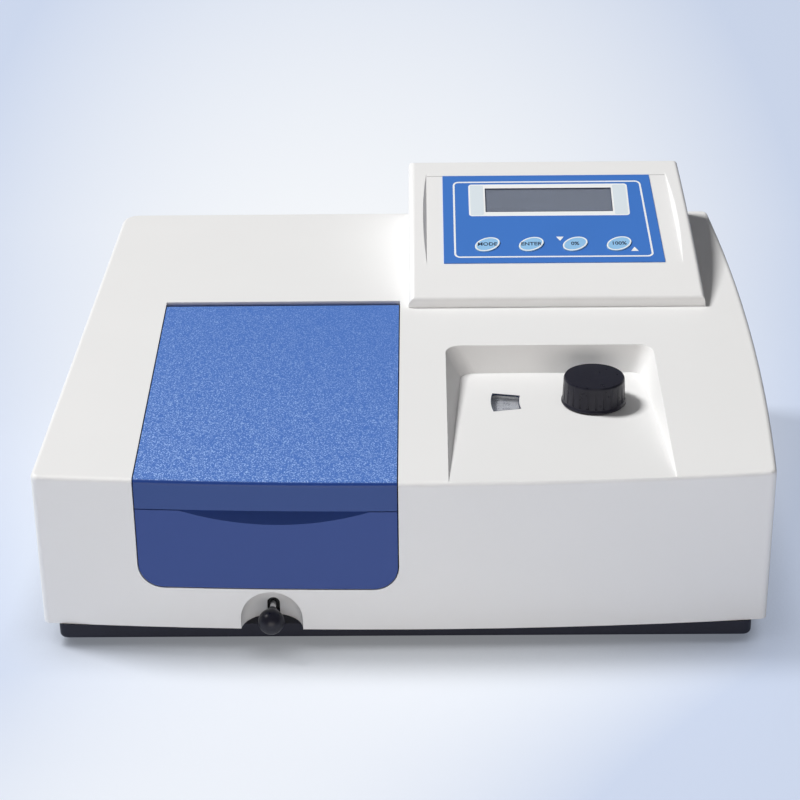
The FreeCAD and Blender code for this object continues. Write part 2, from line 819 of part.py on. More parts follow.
pod_y = d.front_y + d.pod_start
pod_middle = d.pod_left + d.pod_width / 2
bush_hole = rod(
    "bush_hole", d.knob_x, d.knob_y, recess_z - FAR / 2, d.hub_radius, FAR
)
back_opening = block(
    "back_opening",
    d.panel_left,
    back_y - FAR / 2,
    floor_z - FAR,
    d.panel_width,
    FAR,
    d.panel_height + FAR,
)


def make_upper_cover():
    shell = cut("cover_shell", outer_form, inner_form)
    pans = fuse(
        "pan_forms",
        recess_form("pan_outside", d.cover_wall),
        niche_form("niche_outside", d.cover_wall),
        *[
            rod("cover_post_%d" % i, x, y, floor_z, d.post_radius, top_z(y) - floor_z)
            for i, (x, y) in enumerate(post_spots())
        ],
    )
    slot_bottom = floor_z - FAR
    rod_slot = fuse(
        "rod_slot",
        rod("rod_slot_round", d.rod_x, d.front_y, rod_z, d.slot_width / 2, FAR, "y"),
        block(
            "rod_slot_leg",
            d.rod_x - d.slot_width / 2,
            d.front_y,
            slot_bottom,
            d.slot_width,
            FAR,
            rod_z - slot_bottom,
        ),
    )
    wire_hole = block(
        "wire_hole",
        pod_middle - d.pod_width / 8,
        pod_y + d.pod_depth / 2,
        top_z(pod_y) - FAR / 2,
        d.pod_width / 4,
        d.pod_depth / 4,
        2 * FAR,
    )
    pilots = [
        rod("cover_pilot_%d" % i, x, y, floor_z, d.screw_radius, d.screw_bite + NEAR)
        for i, (x, y) in enumerate(post_spots())
    ]
    return cut(
        "upper_cover",
        fuse("cover_walls", shell, common("cover_pans", pans, outer_form)),
        recess_form("pan_inside", 0),
        niche_form("niche_inside", 0),
        front_opening("lid_opening", d.lid_gap, top_z(back_y) + FAR, lid_back + d.lid_gap),
        rod_slot,
        window_form("window_hole", 0, recess_z - FAR / 2, FAR),
        bush_hole,
        back_opening,
        wire_hole,
        *pilots,
    )


nodes["upper_cover"] = make_upper_cover()


# Base with its feet and the screws that hold the cover.

def tray_outline(name, inset, z):
    left, right = front_left + d.tray_inset + inset, front_right - d.tray_inset - inset
    front = d.front_y + d.tray_front_inset + inset
    back = back_y - d.cover_wall - inset
    corners = [
        (left, front),
        (right, front, d.side_bulge),
        (right - d.right_taper, back),
        (left + d.left_taper, back),
    ]
    return profile(name, "xy", corners, z=z)


def foot_spots():
    """The four feet, in from the corners of the cover."""
    front, back = d.front_y + d.foot_inset, back_y - d.foot_inset
    left, right = front_left + d.foot_inset, front_right - d.foot_inset
    return [(left, front), (right, front), (right, back), (left, back)]


def make_base_tray():
    solid = extrude("tray_solid", tray_outline("tray_plan", 0, d.foot_height), d.tray_height)
    bottom = val(d.foot_height) + 0.1
    outside = fillet(
        "tray_outside",
        fillet("tray_corners", solid, (d.tray_round, is_upright)),
        (d.tray_edge, lambda e: middle(e).z < bottom),
    )
    hollow_height = d.tray_height - d.tray_plate
    hollow = extrude(
        "tray_hollow", tray_outline("tray_inner_plan", d.tray_rim, d.foot_height), hollow_height
    )
    shell = cut("tray_shell", outside, hollow)
    rib_z = floor_z - d.tray_plate - d.rib_height
    lengthwise = [
        block(
            "rib_along_%d" % i,
            front_left,
            d.front_y + d.cover_depth * (i + 1) / (d.rib_rows + 1) - d.rib_width / 2,
            rib_z,
            d.front_width,
            d.rib_width,
            d.rib_height,
        )
        for i in range(int(val(d.rib_rows)))
    ]
    across = [
        block(
            "rib_across_%d" % i,
            front_left + d.front_width * (i + 1) / (d.rib_columns + 1) - d.rib_width / 2,
            d.front_y,
            rib_z,
            d.rib_width,
            d.cover_depth,
            d.rib_height,
        )
        for i in range(int(val(d.rib_columns)))
    ]
    ribs = common("tray_ribs", fuse("rib_grid", *lengthwise, *across), hollow)
    foot_bosses = [
        rod("foot_boss_%d" % i, x, y, d.foot_height, d.foot_radius, hollow_height)
        for i, (x, y) in enumerate(foot_spots())
    ]
    holes = [
        rod(
            "tray_hole_%d" % i, x, y, d.foot_height, d.screw_radius, d.tray_height + NEAR
        )
        for i, (x, y) in enumerate(post_spots())
    ]
    return cut("base_tray", fuse("tray_cast", shell, ribs, *foot_bosses), *holes)


def make_feet():
    feet = [
        cone("foot_%d" % i, x, y, 0, d.foot_toe, d.foot_radius, d.foot_height)
        for i, (x, y) in enumerate(foot_spots())
    ]
    return group("feet", *feet)


def make_cover_screws():
    plate_z = floor_z - d.tray_plate
    screws = []
    for i, (x, y) in enumerate(post_spots()):
        length = d.tray_plate + d.screw_bite
        shank = rod("screw_shank_%d" % i, x, y, plate_z, d.screw_radius, length)
        head_z = plate_z - d.head_height
        head = rod("screw_head_%d" % i, x, y, head_z, d.head_radius, d.head_height)
        screws.append(fuse("cover_screw_%d" % i, shank, head))
    return group("cover_screws", *screws)


nodes["base_tray"] = make_base_tray()
nodes["feet"] = make_feet()
nodes["cover_screws"] = make_cover_screws()


# Sample lid, its hinge, and the front panel under it.

barrel_y = lid_back - d.barrel_radius
tangent_y = barrel_y - d.barrel_radius * sine(tilt)
barrel_z = top_z(tangent_y) - d.barrel_radius * cosine(tilt)


def on_slope(along, depth):
    """Y and Z of a point up the slope from the barrel's top line, and below the surface."""
    return (
        tangent_y + along * cosine(tilt) + depth * sine(tilt),
        top_z(tangent_y) + along * sine(tilt) - depth * cosine(tilt),
    )


def ear_spots():
    """Left edges of the two hinge ears."""
    return [d.lid_left + d.ear_inset, lid_right - d.ear_inset - d.ear_width]


def pin_spots():
    """Left ends of the two hinge pins, each centred on its ear."""
    return [x + (d.ear_width - d.pin_length) / 2 for x in ear_spots()]


def make_lid():
    band = block(
        "lid_region",
        d.lid_left,
        d.front_y - FAR,
        seam_z,
        d.lid_width,
        tangent_y - d.front_y + FAR,
        d.top_rise + d.lid_band + FAR,
    )
    skin = cut("lid_skin", common("lid_solid", outer_form, band), inner_form)
    skirt_front = d.front_y + d.front_bow
    skirts = [
        slab("lid_skirt_%d" % i, x, d.lid_wall, skirt_front, barrel_y, d.lid_wall / 2, d.lid_skirt)
        for i, x in enumerate((d.lid_left, lid_right - d.lid_wall))
    ]
    reach = root(d.barrel_radius * d.barrel_radius - (d.barrel_radius - d.lid_wall)
                 * (d.barrel_radius - d.lid_wall))
    chord = reach * reach + d.lid_wall * d.lid_wall
    crown = d.barrel_radius + root(d.barrel_radius * d.barrel_radius - chord / 4)
    start = -2 * d.barrel_radius
    barrel_side = profile(
        "barrel_side",
        "yz",
        [
            on_slope(0, 0),
            on_slope(start, 0),
            on_slope(start, d.lid_wall),
            (*on_slope(-reach, d.lid_wall), crown),
        ],
        x=d.lid_left,
    )
    barrel = extrude("barrel", barrel_side, d.lid_width, (1, 0, 0))
    slots = [
        slab(
            "knuckle_slot_%d" % i,
            x - d.ear_gap,
            d.ear_width + 2 * d.ear_gap,
            barrel_y - 3 * d.barrel_radius,
            barrel_y + FAR,
            d.lid_wall,
            FAR,
        )
        for i, x in enumerate(ear_spots())
    ]
    bores = [
        rod(
            "barrel_bore_%d" % i,
            x - d.ear_gap,
            barrel_y,
            barrel_z,
            d.pin_radius + d.running_gap,
            d.pin_length + 2 * d.ear_gap,
            "x",
        )
        for i, x in enumerate(pin_spots())
    ]
    return cut("lid", fuse("lid_whole", skin, *skirts, barrel), *slots, *bores)


chamber_front = d.front_y + d.chamber_front
chamber_back = chamber_front + d.chamber_length
chamber_left = d.lid_left + d.chamber_side_gap
chamber_width = d.lid_width - 2 * d.chamber_side_gap


def make_hinge_bracket():
    """A plate on the chamber's back with two ears that reach up into the lid's barrel."""
    foot_z = barrel_z - d.ear_drop
    head_rise = root(d.ear_radius * d.ear_radius - d.ear_half * d.ear_half)
    ears = []
    for i, x in enumerate(ear_spots()):
        corners = [
            (barrel_y + d.ear_half, barrel_z + head_rise, d.ear_radius - head_rise),
            (barrel_y - d.ear_half, barrel_z + head_rise),
            (barrel_y - d.ear_half, foot_z + d.ear_half),
            (chamber_back, foot_z + d.ear_half),
            (chamber_back, foot_z - d.ear_half),
            (barrel_y + d.ear_half, foot_z - d.ear_half),
        ]
        side = profile("ear_side_%d" % i, "yz", corners, x=x)
        ears.append(extrude("ear_%d" % i, side, d.ear_width, (1, 0, 0)))
    left, right = ear_spots()
    plate = block(
        "bracket_plate",
        left - d.ear_inset / 2,
        chamber_back,
        foot_z + d.ear_half - d.bracket_height,
        right - left + d.ear_width + d.ear_inset,
        d.bracket_wall,
        d.bracket_height,
    )
    pin_hole = rod(
        "bracket_pin_hole", d.lid_left, barrel_y, barrel_z, d.pin_radius, d.lid_width, "x"
    )
    return cut("hinge_bracket", fuse("bracket_whole", plate, *ears), pin_hole)


def make_hinge_pins():
    pins = [
        rod("hinge_pin_%d" % i, x, barrel_y, barrel_z, d.pin_radius, d.pin_length, "x")
        for i, x in enumerate(pin_spots())
    ]
    return group("hinge_pins", *pins)


def scoop_form(name, grow):
    """A wide, shallow trough that climbs from the front panel's edge to the seam."""
    drop = d.scoop_drop
    radius = (d.scoop_width * d.scoop_width / 4 + drop * drop) / (2 * drop)
    trough = doc.addObject("Part::Cylinder", name)
    bind(trough, Radius=radius + grow, Height=d.scoop_width)
    rise = (radius - drop) * cosine(d.scoop_tilt)
    setback = (radius - drop) * sine(d.scoop_tilt)
    lean = d.scoop_width / 2
    place(
        trough,
        d.lid_left + d.lid_width / 2,
        d.front_y - setback - lean * cosine(d.scoop_tilt),
        seam_z - d.seam_gap + rise - lean * sine(d.scoop_tilt),
        (1, 0, 0),
        d.scoop_tilt - 90,
    )
    return trough


def make_front_panel():
    top = seam_z - d.seam_gap
    face = common(
        "panel_face",
        outer_form,
        front_opening("panel_region", 0, top, chamber_front),
    )
    skin = cut("panel_skin", face, inner_form)
    shelf_region = block(
        "shelf_region",
        d.lid_left + d.lid_wall,
        d.front_y,
        top - d.shelf_wall,
        d.lid_width - 2 * d.lid_wall,
        d.chamber_front,
        d.shelf_wall,
    )
    shelf = common("shelf", outer_form, shelf_region)
    pan_region = block(
        "scoop_region",
        d.lid_left + d.lid_wall,
        d.front_y,
        apron_z,
        d.lid_width - 2 * d.lid_wall,
        d.chamber_front - NEAR,
        top - apron_z,
    )
    pan = common("scoop_pan", scoop_form("scoop_outside", d.shelf_wall), pan_region, outer_form)
    return cut("front_panel", fuse("panel_whole", skin, shelf, pan), scoop_form("scoop", 0))


nodes["lid"] = make_lid()
nodes["hinge_bracket"] = make_hinge_bracket()
nodes["hinge_pins"] = make_hinge_pins()
nodes["front_panel"] = make_front_panel()


# Sample chamber with its windows, seal and guide rails.

def chamber_prism(name, inset, bottom, depth):
    """A prism inside the chamber's outline, cut off parallel to the top surface."""
    front, back = chamber_front + inset, chamber_back - inset
    corners = [
        (front, bottom),
        (back, bottom),
        (back, top_z(back) - depth),
        (front, top_z(front) - depth),
    ]
    side = profile(name + "_side", "yz", corners, x=chamber_left + inset)
    return extrude(name, side, chamber_width - 2 * inset, (1, 0, 0))


def make_chamber():
    wall = d.chamber_wall
    floor_top = floor_z + wall
    outside = chamber_prism("chamber_outside", 0, floor_z, d.rim_depth)
    hollow = chamber_prism("chamber_hollow", wall, floor_top, d.rim_depth + d.rim_height)
    mouth = chamber_prism("chamber_mouth", d.rim_width, floor_top, 0)
    light_path = rod(
        "light_path",
        chamber_left - NEAR,
        d.beam_y,
        beam_z,
        d.beam_radius,
        chamber_width + 2 * NEAR,
        "x",
    )
    bush_seat = rod(
        "bush_seat", d.rod_x, chamber_front - NEAR, rod_z, d.bush_radius, wall + 2 * NEAR, "y"
    )
    return cut("sample_chamber", outside, hollow, mouth, light_path, bush_seat)


def make_seal():
    height = d.rim_depth - d.lid_wall - d.seal_gap
    ring = [
        slab(
            "seal_%s" % part,
            chamber_left + inset,
            chamber_width - 2 * inset,
            chamber_front + inset,
            chamber_back - inset,
            depth,
            d.rim_depth,
        )
        for part, inset, depth in (
            ("outside", 0, d.rim_depth - height),
            ("inside", d.seal_width, 0),
        )
    ]
    return cut("chamber_seal", *ring)


def make_windows():
    spots = (chamber_left, chamber_left + chamber_width - d.chamber_wall)
    panes = [
        rod("beam_window_%d" % i, x, d.beam_y, beam_z, d.beam_radius, d.chamber_wall, "x")
        for i, x in enumerate(spots)
    ]
    return group("beam_windows", *panes)


def rail_spots():
    return (d.rod_x - d.rail_spread, d.rod_x + d.rail_spread)


def make_rails():
    start = chamber_front + d.chamber_wall
    length = d.chamber_length - 2 * d.chamber_wall
    rails = [
        rod("guide_rail_%d" % i, x, start, rod_z, d.rail_radius, length, "y")
        for i, x in enumerate(rail_spots())
    ]
    return group("guide_rails", *rails)


def make_rod_bush():
    start = chamber_front - d.bracket_wall
    flange = rod("bush_flange", d.rod_x, start, rod_z, d.bush_flange, d.bracket_wall, "y")
    length = d.chamber_wall + d.bracket_wall
    barrel = rod("bush_barrel", d.rod_x, start, rod_z, d.bush_radius, length, "y")
    bore = rod(
        "bush_bore",
        d.rod_x,
        start - NEAR,
        rod_z,
        d.rod_radius + d.running_gap,
        length + 2 * NEAR,
        "y",
    )
    return cut("rod_bush", fuse("bush_whole", flange, barrel), bore)


nodes["sample_chamber"] = make_chamber()
nodes["chamber_seal"] = make_seal()
nodes["beam_windows"] = make_windows()
nodes["guide_rails"] = make_rails()
nodes["rod_bush"] = make_rod_bush()


# Sample changer: carriage, cuvette holder, pull rod and knob.

carriage_z = floor_z + d.chamber_wall + d.carriage_clearance
holder_length = (d.cell_count - 1) * d.cell_pitch + d.cell_well + 2 * d.holder_margin
holder_y = d.beam_y - d.cell_well / 2 - d.holder_margin


def make_carriage():
    plate = block(
        "carriage_block",
        d.rod_x - d.carriage_width / 2,
        holder_y,
        carriage_z,
        d.carriage_width,
        holder_length,
        d.carriage_height,
    )
    rounded = fillet("carriage_rounded", plate, (d.carriage_edge, is_upright))
    bores = [
        rod(
            "carriage_bore_%d" % i,
            x,
            holder_y - NEAR,
            rod_z,
            d.rail_radius + d.running_gap,
            holder_length + 2 * NEAR,
            "y",
        )
        for i, x in enumerate(rail_spots())
    ]
    rod_hole = rod(
        "carriage_rod_hole", d.rod_x, holder_y - NEAR, rod_z, d.rod_radius, d.rod_bite + NEAR, "y"
    )
    return cut("carriage", rounded, *bores, rod_hole)


def make_holder():
    """Four square wells in a row, each crossed by a light slot."""
    body = new_body("cell_holder")
    plan = body_sketch(body, "holder_plan", "XY_Plane")
    half = d.holder_width / 2
    outline(plan, [(-half, 0), (half, 0), (half, holder_length), (-half, holder_length)])
    pad = add_feature(body, "Pad", "holder_pad", plan, Length=d.holder_height)
    pad.Refine = True
    well_sketch = body_sketch(body, "well_sketch", "XY_Plane", d.holder_height)
    well_half = d.cell_well / 2
    start = d.holder_margin
    end = d.holder_margin + d.cell_well
    outline(
        well_sketch,
        [(-well_half, start), (well_half, start), (well_half, end), (-well_half, end)],
    )
    well = add_feature(body, "Pocket", "cell_well", well_sketch, Length=d.cell_depth)
    slot_sketch = body_sketch(body, "slot_sketch", "YZ_Plane", -d.holder_width)
    slot_middle = d.holder_margin + d.cell_well / 2
    slot_start = beam_z - carriage_z - d.carriage_height - d.aperture_height / 2
    slot_half = d.aperture_width / 2
    outline(
        slot_sketch,
        [
            (slot_middle - slot_half, slot_start),
            (slot_middle + slot_half, slot_start),
            (slot_middle + slot_half, slot_start + d.aperture_height),
            (slot_middle - slot_half, slot_start + d.aperture_height),
        ],
    )
    slot = add_feature(body, "Pocket", "light_slot", slot_sketch, Length=2 * d.holder_width)
    slot.Reversed = True
    doc.recompute()
    row = body.newObject("PartDesign::LinearPattern", "cell_row")
    row.Originals = [well, slot]
    row.Direction = (plan, ["V_Axis"])
    bind(row, Length=(d.cell_count - 1) * d.cell_pitch, Occurrences=d.cell_count)
    body.Tip = row
    return place(body, d.rod_x, holder_y, carriage_z + d.carriage_height)


def make_pull_rod():
    start = d.front_y - d.ball_reach
    return rod(
        "pull_rod", d.rod_x, start, rod_z, d.rod_radius, holder_y + d.rod_bite - start, "y"
    )


def make_pull_knob():
    centre_y = d.front_y - d.ball_reach
    grip = ball("knob_ball", d.rod_x, centre_y, rod_z, d.ball_radius)
    neck = cone(
        "knob_neck",
        d.rod_x,
        centre_y,
        rod_z,
        d.neck_radius,
        d.rod_radius + d.neck_radius / 4,
        d.neck_length,
        "y",
    )
    bore = rod("knob_bore", d.rod_x, centre_y, rod_z, d.rod_radius, FAR, "y")
    return cut("pull_knob", fuse("pull_knob_whole", grip, neck), bore)


nodes["carriage"] = make_carriage()
nodes["cell_holder"] = make_holder()
nodes["pull_rod"] = make_pull_rod()
nodes["pull_knob"] = make_pull_knob()


# Detector on the left of the chamber.

def make_detector_housing():
    left = chamber_left - d.detector_reach
    bottom = beam_z - d.detector_height / 2
    front = d.beam_y - d.detector_width / 2
    wall = d.detector_wall
    outside = block(
        "detector_outside",
        left,
        front,
        bottom,
        d.detector_reach,
        d.detector_width,
        d.detector_height,
    )
    hollow = block(
        "detector_hollow",
        left + wall,
        front + wall,
        bottom + wall,
        d.detector_reach - 2 * wall,
        d.detector_width - 2 * wall,
        d.detector_height - 2 * wall,
    )
    opening = rod(
        "detector_opening", chamber_left - 2 * wall, d.beam_y, beam_z, d.beam_radius, FAR, "x"
    )
    leg = block(
        "detector_leg",
        left,
        front,
        floor_z,
        d.detector_reach,
        d.detector_width,
        bottom - floor_z,
    )
    return cut("detector_housing", fuse("detector_whole", outside, leg), hollow, opening)


def make_photodiode():
    """A metal can with its window towards the beam, on the housing's left wall."""
    start = chamber_left - d.detector_reach + d.detector_wall
    can = rod("diode_can", start, d.beam_y, beam_z, d.diode_radius, d.diode_length, "x")
    brim = rod(
        "diode_brim",
        start,
        d.beam_y,
        beam_z,
        d.diode_brim,
        d.detector_wall,
        "x",
    )
    return fuse("photodiode", can, brim)


nodes["detector_housing"] = make_detector_housing()
nodes["photodiode"] = make_photodiode()


# Monochromator: case, slits, collimating mirror.

case_front = d.front_y + d.case_front
case_back = case_front + d.case_depth
mirror_y = case_back - d.mirror_room
plate_z = floor_z + d.case_height
gear_z = plate_z + d.plate_height + d.gear_start
centre_distance = d.gear_module * (d.pinion_teeth + d.wheel_teeth) / 2
grating_x = d.knob_x + d.arm_pivot
case_width = grating_x + d.case_room - d.case_left
counter_y = d.knob_y - centre_distance


def make_case():
    wall = d.case_wall
    outside = block(
        "case_outside",
        d.case_left,
        case_front,
        floor_z,
        case_width,
        d.case_depth,
        d.case_height,
    )
    hollow = block(
        "case_hollow",
        d.case_left + wall,
        case_front + wall,
        floor_z + wall,
        case_width - 2 * wall,
        d.case_depth - 2 * wall,
        d.case_height,
    )
    exit_hole = block(
        "exit_hole",
        d.case_left - NEAR,
        d.beam_y - d.slit_plate / 4,
        beam_z - d.slit_height,
        wall + 2 * NEAR,
        d.slit_plate / 2,
        2 * d.slit_height,
    )
    entrance_hole = block(
        "entrance_hole",
        d.entrance_x - d.slit_plate / 4,
        case_back - wall - NEAR,
        beam_z - d.slit_height,
        d.slit_plate / 2,
        wall + 2 * NEAR,
        2 * d.slit_height,
    )
    pivot_hole = rod(
        "pivot_hole",
        grating_x,
        d.knob_y,
        floor_z + wall / 2,
        d.shaft_radius + d.running_gap,
        wall,
    )
    return cut("monochromator_case", outside, hollow, exit_hole, entrance_hole, pivot_hole)


def shaft_spots():
    """Knob shaft, countershaft and grating shaft."""
    return [(d.knob_x, d.knob_y), (d.knob_x, counter_y), (grating_x, d.knob_y)]


def make_drive_plate():
    plate = block(
        "plate_sheet",
        d.case_left,
        case_front,
        plate_z,
        case_width,
        d.case_depth,
        d.plate_height,
    )
    bosses = [
        rod(
            "plate_boss_%d" % i, x, y, plate_z - d.boss_height, d.boss_radius, d.boss_height
        )
        for i, (x, y) in enumerate(shaft_spots())
    ]
    bores = [
        rod(
            "plate_bore_%d" % i,
            x,
            y,
            plate_z - d.boss_height - NEAR,
            d.shaft_radius + d.running_gap,
            d.boss_height + d.plate_height + 2 * NEAR,
        )
        for i, (x, y) in enumerate(shaft_spots())
    ]
    return cut("drive_plate", fuse("plate_whole", plate, *bosses), *bores)


def make_slits():
    """A plate with a narrow slit inside each light hole."""
    side, width = d.slit_plate, d.slit_width
    plate_bottom, slit_bottom = beam_z - side / 2, beam_z - d.slit_height / 2
    inner_left = d.case_left + d.case_wall
    inner_back = case_back - d.case_wall - d.slit_wall
    exit_plate = cut(
        "exit_slit",
        block("exit_plate", inner_left, d.beam_y - side / 2, plate_bottom, d.slit_wall, side, side),
        block(
            "exit_gap",
            inner_left - NEAR,
            d.beam_y - width / 2,
            slit_bottom,
            d.slit_wall + 2 * NEAR,
            width,
            d.slit_height,
        ),
    )
    entrance_plate = cut(
        "entrance_slit",
        block(
            "entrance_plate",
            d.entrance_x - side / 2,
            inner_back,
            plate_bottom,
            side,
            d.slit_wall,
            side,
        ),
        block(
            "entrance_gap",
            d.entrance_x - width / 2,
            inner_back - NEAR,
            slit_bottom,
            width,
            d.slit_wall + 2 * NEAR,
            d.slit_height,
        ),
    )
    return group("slit_plates", exit_plate, entrance_plate)


def make_mirror():
    """The collimating mirror and the upright that holds it, facing the grating."""
    bottom = floor_z + d.case_wall
    mirror = rod(
        "collimating_mirror",
        d.mirror_x,
        mirror_y - d.mirror_depth,
        beam_z,
        d.mirror_radius,
        d.mirror_depth,
        "y",
    )
    upright = block(
        "mirror_upright",
        d.mirror_x - d.mirror_radius,
        mirror_y,
        bottom,
        2 * d.mirror_radius,
        d.mount_wall,
        beam_z - bottom + d.mirror_radius / 2,
    )
    foot = block(
        "mirror_foot",
        d.mirror_x - d.mirror_radius,
        mirror_y,
        bottom,
        2 * d.mirror_radius,
        4 * d.mount_wall,
        d.mount_wall,
    )
    return mirror, fuse("mirror_mount", upright, foot)


nodes["monochromator_case"] = make_case()
nodes["drive_plate"] = make_drive_plate()
nodes["slit_plates"] = make_slits()
nodes["collimating_mirror"], nodes["mirror_mount"] = make_mirror()


# Wavelength drive: knob, two gear stages, dial, cam and grating.

PRESSURE = math.radians(20.0)
DEDENDUM = 1.25  # depth of a tooth below the pitch circle, in modules
FLANK_STEPS = 3
CAM_STEP = 15.0  # degrees of the dial from one point of the cam's edge to the next
SMALL_TURN = 0.1  # degrees either way in which the follower's path is taken as straight


def tooth_wheel(name, teeth, turn, x, y, z):
    """An involute gear; turn is the angle in degrees of its first tooth."""
    module, count = val(d.gear_module), int(val(teeth))
    pitch = module * count / 2
    base = pitch * math.cos(PRESSURE)
    tip, foot = pitch + module, pitch - DEDENDUM * module

    def involute(angle):
        return math.tan(angle) - angle

    half_tooth = math.pi / (2 * count) - val(d.gear_lash) / (4 * pitch)
    start = max(base, foot)
    flank = []
    for step in range(FLANK_STEPS):
        radius = start + (tip - start) * step / (FLANK_STEPS - 1)
        roll = math.acos(min(1.0, base / radius))
        flank.append((radius, half_tooth + involute(PRESSURE) - involute(roll)))
    if foot < base:
        flank.insert(0, (foot, flank[0][1]))
    points = []
    for tooth in range(count):
        middle_angle = math.radians(turn) + 2 * math.pi * tooth / count
        for radius, half in flank:
            points.append((radius, middle_angle - half))
        for radius, half in reversed(flank):
            points.append((radius, middle_angle + half))
    corners = [Vector(r * math.cos(a), r * math.sin(a), 0) for r, a in points]
    wire = Part.makePolygon(corners + corners[:1])
    made = doc.addObject("Part::Feature", name)
    made.Shape = Part.Face(wire).extrude(Vector(0, 0, val(d.gear_width)))
    return place(made, x, y, z)


def ring(name, x, y, z, outer, inner, height):
    """A round disc with a hole."""
    return cut(
        name,
        rod(name + "_disc", x, y, z, outer, height),
        rod(name + "_hole", x, y, z - NEAR, inner, height + 2 * NEAR),
    )


dial_z = recess_z - d.cover_wall - d.dial_gap - d.dial_height
wheel_z = gear_z + d.gear_step
cam_z = wheel_z + d.cam_step
DOWN = -90.0  # direction in degrees from the knob to the countershaft
half_pitch = 180.0 / val(d.wheel_teeth)


def make_knob_shaft():
    start = plate_z - d.boss_height
    shaft = rod(
        "knob_shaft_bar",
        d.knob_x,
        d.knob_y,
        start,
        d.shaft_radius,
        recess_z + d.knob_height / 2 - start,
    )
    pinion = tooth_wheel("knob_pinion", d.pinion_teeth, DOWN, d.knob_x, d.knob_y, gear_z)
    return fuse("knob_shaft", shaft, pinion)


def make_countershaft():
    start = plate_z - d.boss_height
    shaft = rod(
        "counter_bar", d.knob_x, counter_y, start, d.shaft_radius, wheel_z + d.gear_width - start
    )
    pinion = tooth_wheel("counter_pinion", d.pinion_teeth, -DOWN, d.knob_x, counter_y, wheel_z)
    wheel = cut(
        "counter_gear",
        tooth_wheel(
            "counter_teeth", d.wheel_teeth, -DOWN + half_pitch, d.knob_x, counter_y, gear_z
        ),
        rod(
            "counter_bore",
            d.knob_x,
            counter_y,
            gear_z - NEAR,
            d.shaft_radius,
            d.gear_width + 2 * NEAR,
        ),
    )
    return fuse("countershaft", shaft, pinion), wheel


def make_dial_gear():
    """The dial's gear with its long hub, free on the knob shaft."""
    wheel = tooth_wheel(
        "dial_teeth", d.wheel_teeth, DOWN + half_pitch, d.knob_x, d.knob_y, wheel_z
    )
    hub = rod("dial_hub", d.knob_x, d.knob_y, wheel_z, d.hub_radius, dial_z - wheel_z)
    seat = rod(
        "dial_seat", d.knob_x, d.knob_y, dial_z - d.dial_height, d.dial_flange, d.dial_height
    )
    bore = rod(
        "dial_bore",
        d.knob_x,
        d.knob_y,
        wheel_z - NEAR,
        d.shaft_radius + d.running_gap,
        dial_z - wheel_z + 2 * NEAR,
    )
    return cut("dial_gear", fuse("dial_gear_whole", wheel, hub, seat), bore)


def follower_spot(turn):
    """Follower's centre from the dial's axis, in the dial's own frame, at a dial angle."""
    arm = math.radians(val(d.arm_angle) + val(d.arm_ratio) * turn)
    x = val(d.arm_pivot) + val(d.arm_length) * math.cos(arm)
    y = val(d.arm_length) * math.sin(arm)
    back = -math.radians(turn)
    return Vector(
        x * math.cos(back) - y * math.sin(back), x * math.sin(back) + y * math.cos(back), 0
    )


def make_cam():
    """The snail cam: its edge stays one follower radius inside the follower's path."""
    offset = val(d.follower_radius) + val(d.cam_gap)
    count = int(val(d.cam_sweep) / CAM_STEP)
    edge = []
    for i in range(count + 1):
        turn = -val(d.cam_sweep) / 2 + val(d.cam_sweep) * i / count
        spot = follower_spot(turn)
        along = follower_spot(turn + SMALL_TURN) - follower_spot(turn - SMALL_TURN)
        inwards = along.normalize().cross(Vector(0, 0, 1))
        if inwards.dot(spot) > 0:
            inwards = -inwards
        edge.append(spot + inwards * offset)
    curve = Part.BSplineCurve()
    curve.interpolate(edge)
    wire = Part.Wire([curve.toShape(), Part.LineSegment(edge[-1], edge[0]).toShape()])
    snail = doc.addObject("Part::Feature", "cam_snail")
    snail.Shape = Part.Face(wire).extrude(Vector(0, 0, val(d.cam_height)))
    place(snail, d.knob_x, d.knob_y, cam_z)
    hole = rod(
        "cam_hole", d.knob_x, d.knob_y, cam_z - NEAR, d.hub_radius, d.cam_height + 2 * NEAR
    )
    return cut("grating_cam", snail, hole)


def make_knob():
    """A fluted grip on a plain flange, bored for its shaft."""
    body = new_body("wavelength_knob")
    edge, low = d.knob_edge, d.flange_height
    revolve(
        body,
        "knob_turned",
        [
            (0, d.knob_gap),
            (d.knob_flange - edge / 2, d.knob_gap),
            (d.knob_flange, d.knob_gap + edge / 2),
            (d.knob_flange, low - edge / 2),
            (d.knob_radius, low + edge / 2),
            (d.knob_radius - edge / 2, d.knob_height - edge),
            (d.knob_radius - edge, d.knob_height),
            (0, d.knob_height),
        ],
    )
    bore_sketch = body_sketch(body, "knob_bore_sketch", "XY_Plane")
    circle(bore_sketch, 0, 0, d.shaft_radius)
    bore = add_feature(body, "Pocket", "knob_bore_cut", bore_sketch, Length=d.knob_height / 2)
    bore.Reversed = True
    flute_sketch = body_sketch(body, "flute_sketch", "XY_Plane", low + edge)
    circle(flute_sketch, d.knob_radius + d.flute_radius / 4, 0, d.flute_radius)
    flute = add_feature(body, "Pocket", "flute", flute_sketch, Length=d.knob_height)
    flute.Reversed = True
    doc.recompute()
    polar(body, flute, flute_sketch, d.flute_count)
    return place(body, d.knob_x, d.knob_y, recess_z)


def make_knob_bush():
    """The bush in the recess pan, flanged under it."""
    barrel = rod(
        "pan_bush_barrel",
        d.knob_x,
        d.knob_y,
        recess_z - d.cover_wall,
        d.hub_radius,
        d.cover_wall,
    )
    flange = rod(
        "pan_bush_flange",
        d.knob_x,
        d.knob_y,
        recess_z - d.cover_wall - d.dial_gap / 2,
        d.dial_flange,
        d.dial_gap / 2,
    )
    bore = rod(
        "pan_bush_bore",
        d.knob_x,
        d.knob_y,
        recess_z - FAR / 2,
        d.shaft_radius + d.running_gap,
        FAR,
    )
    return cut("knob_bush", fuse("pan_bush_whole", barrel, flange), bore)


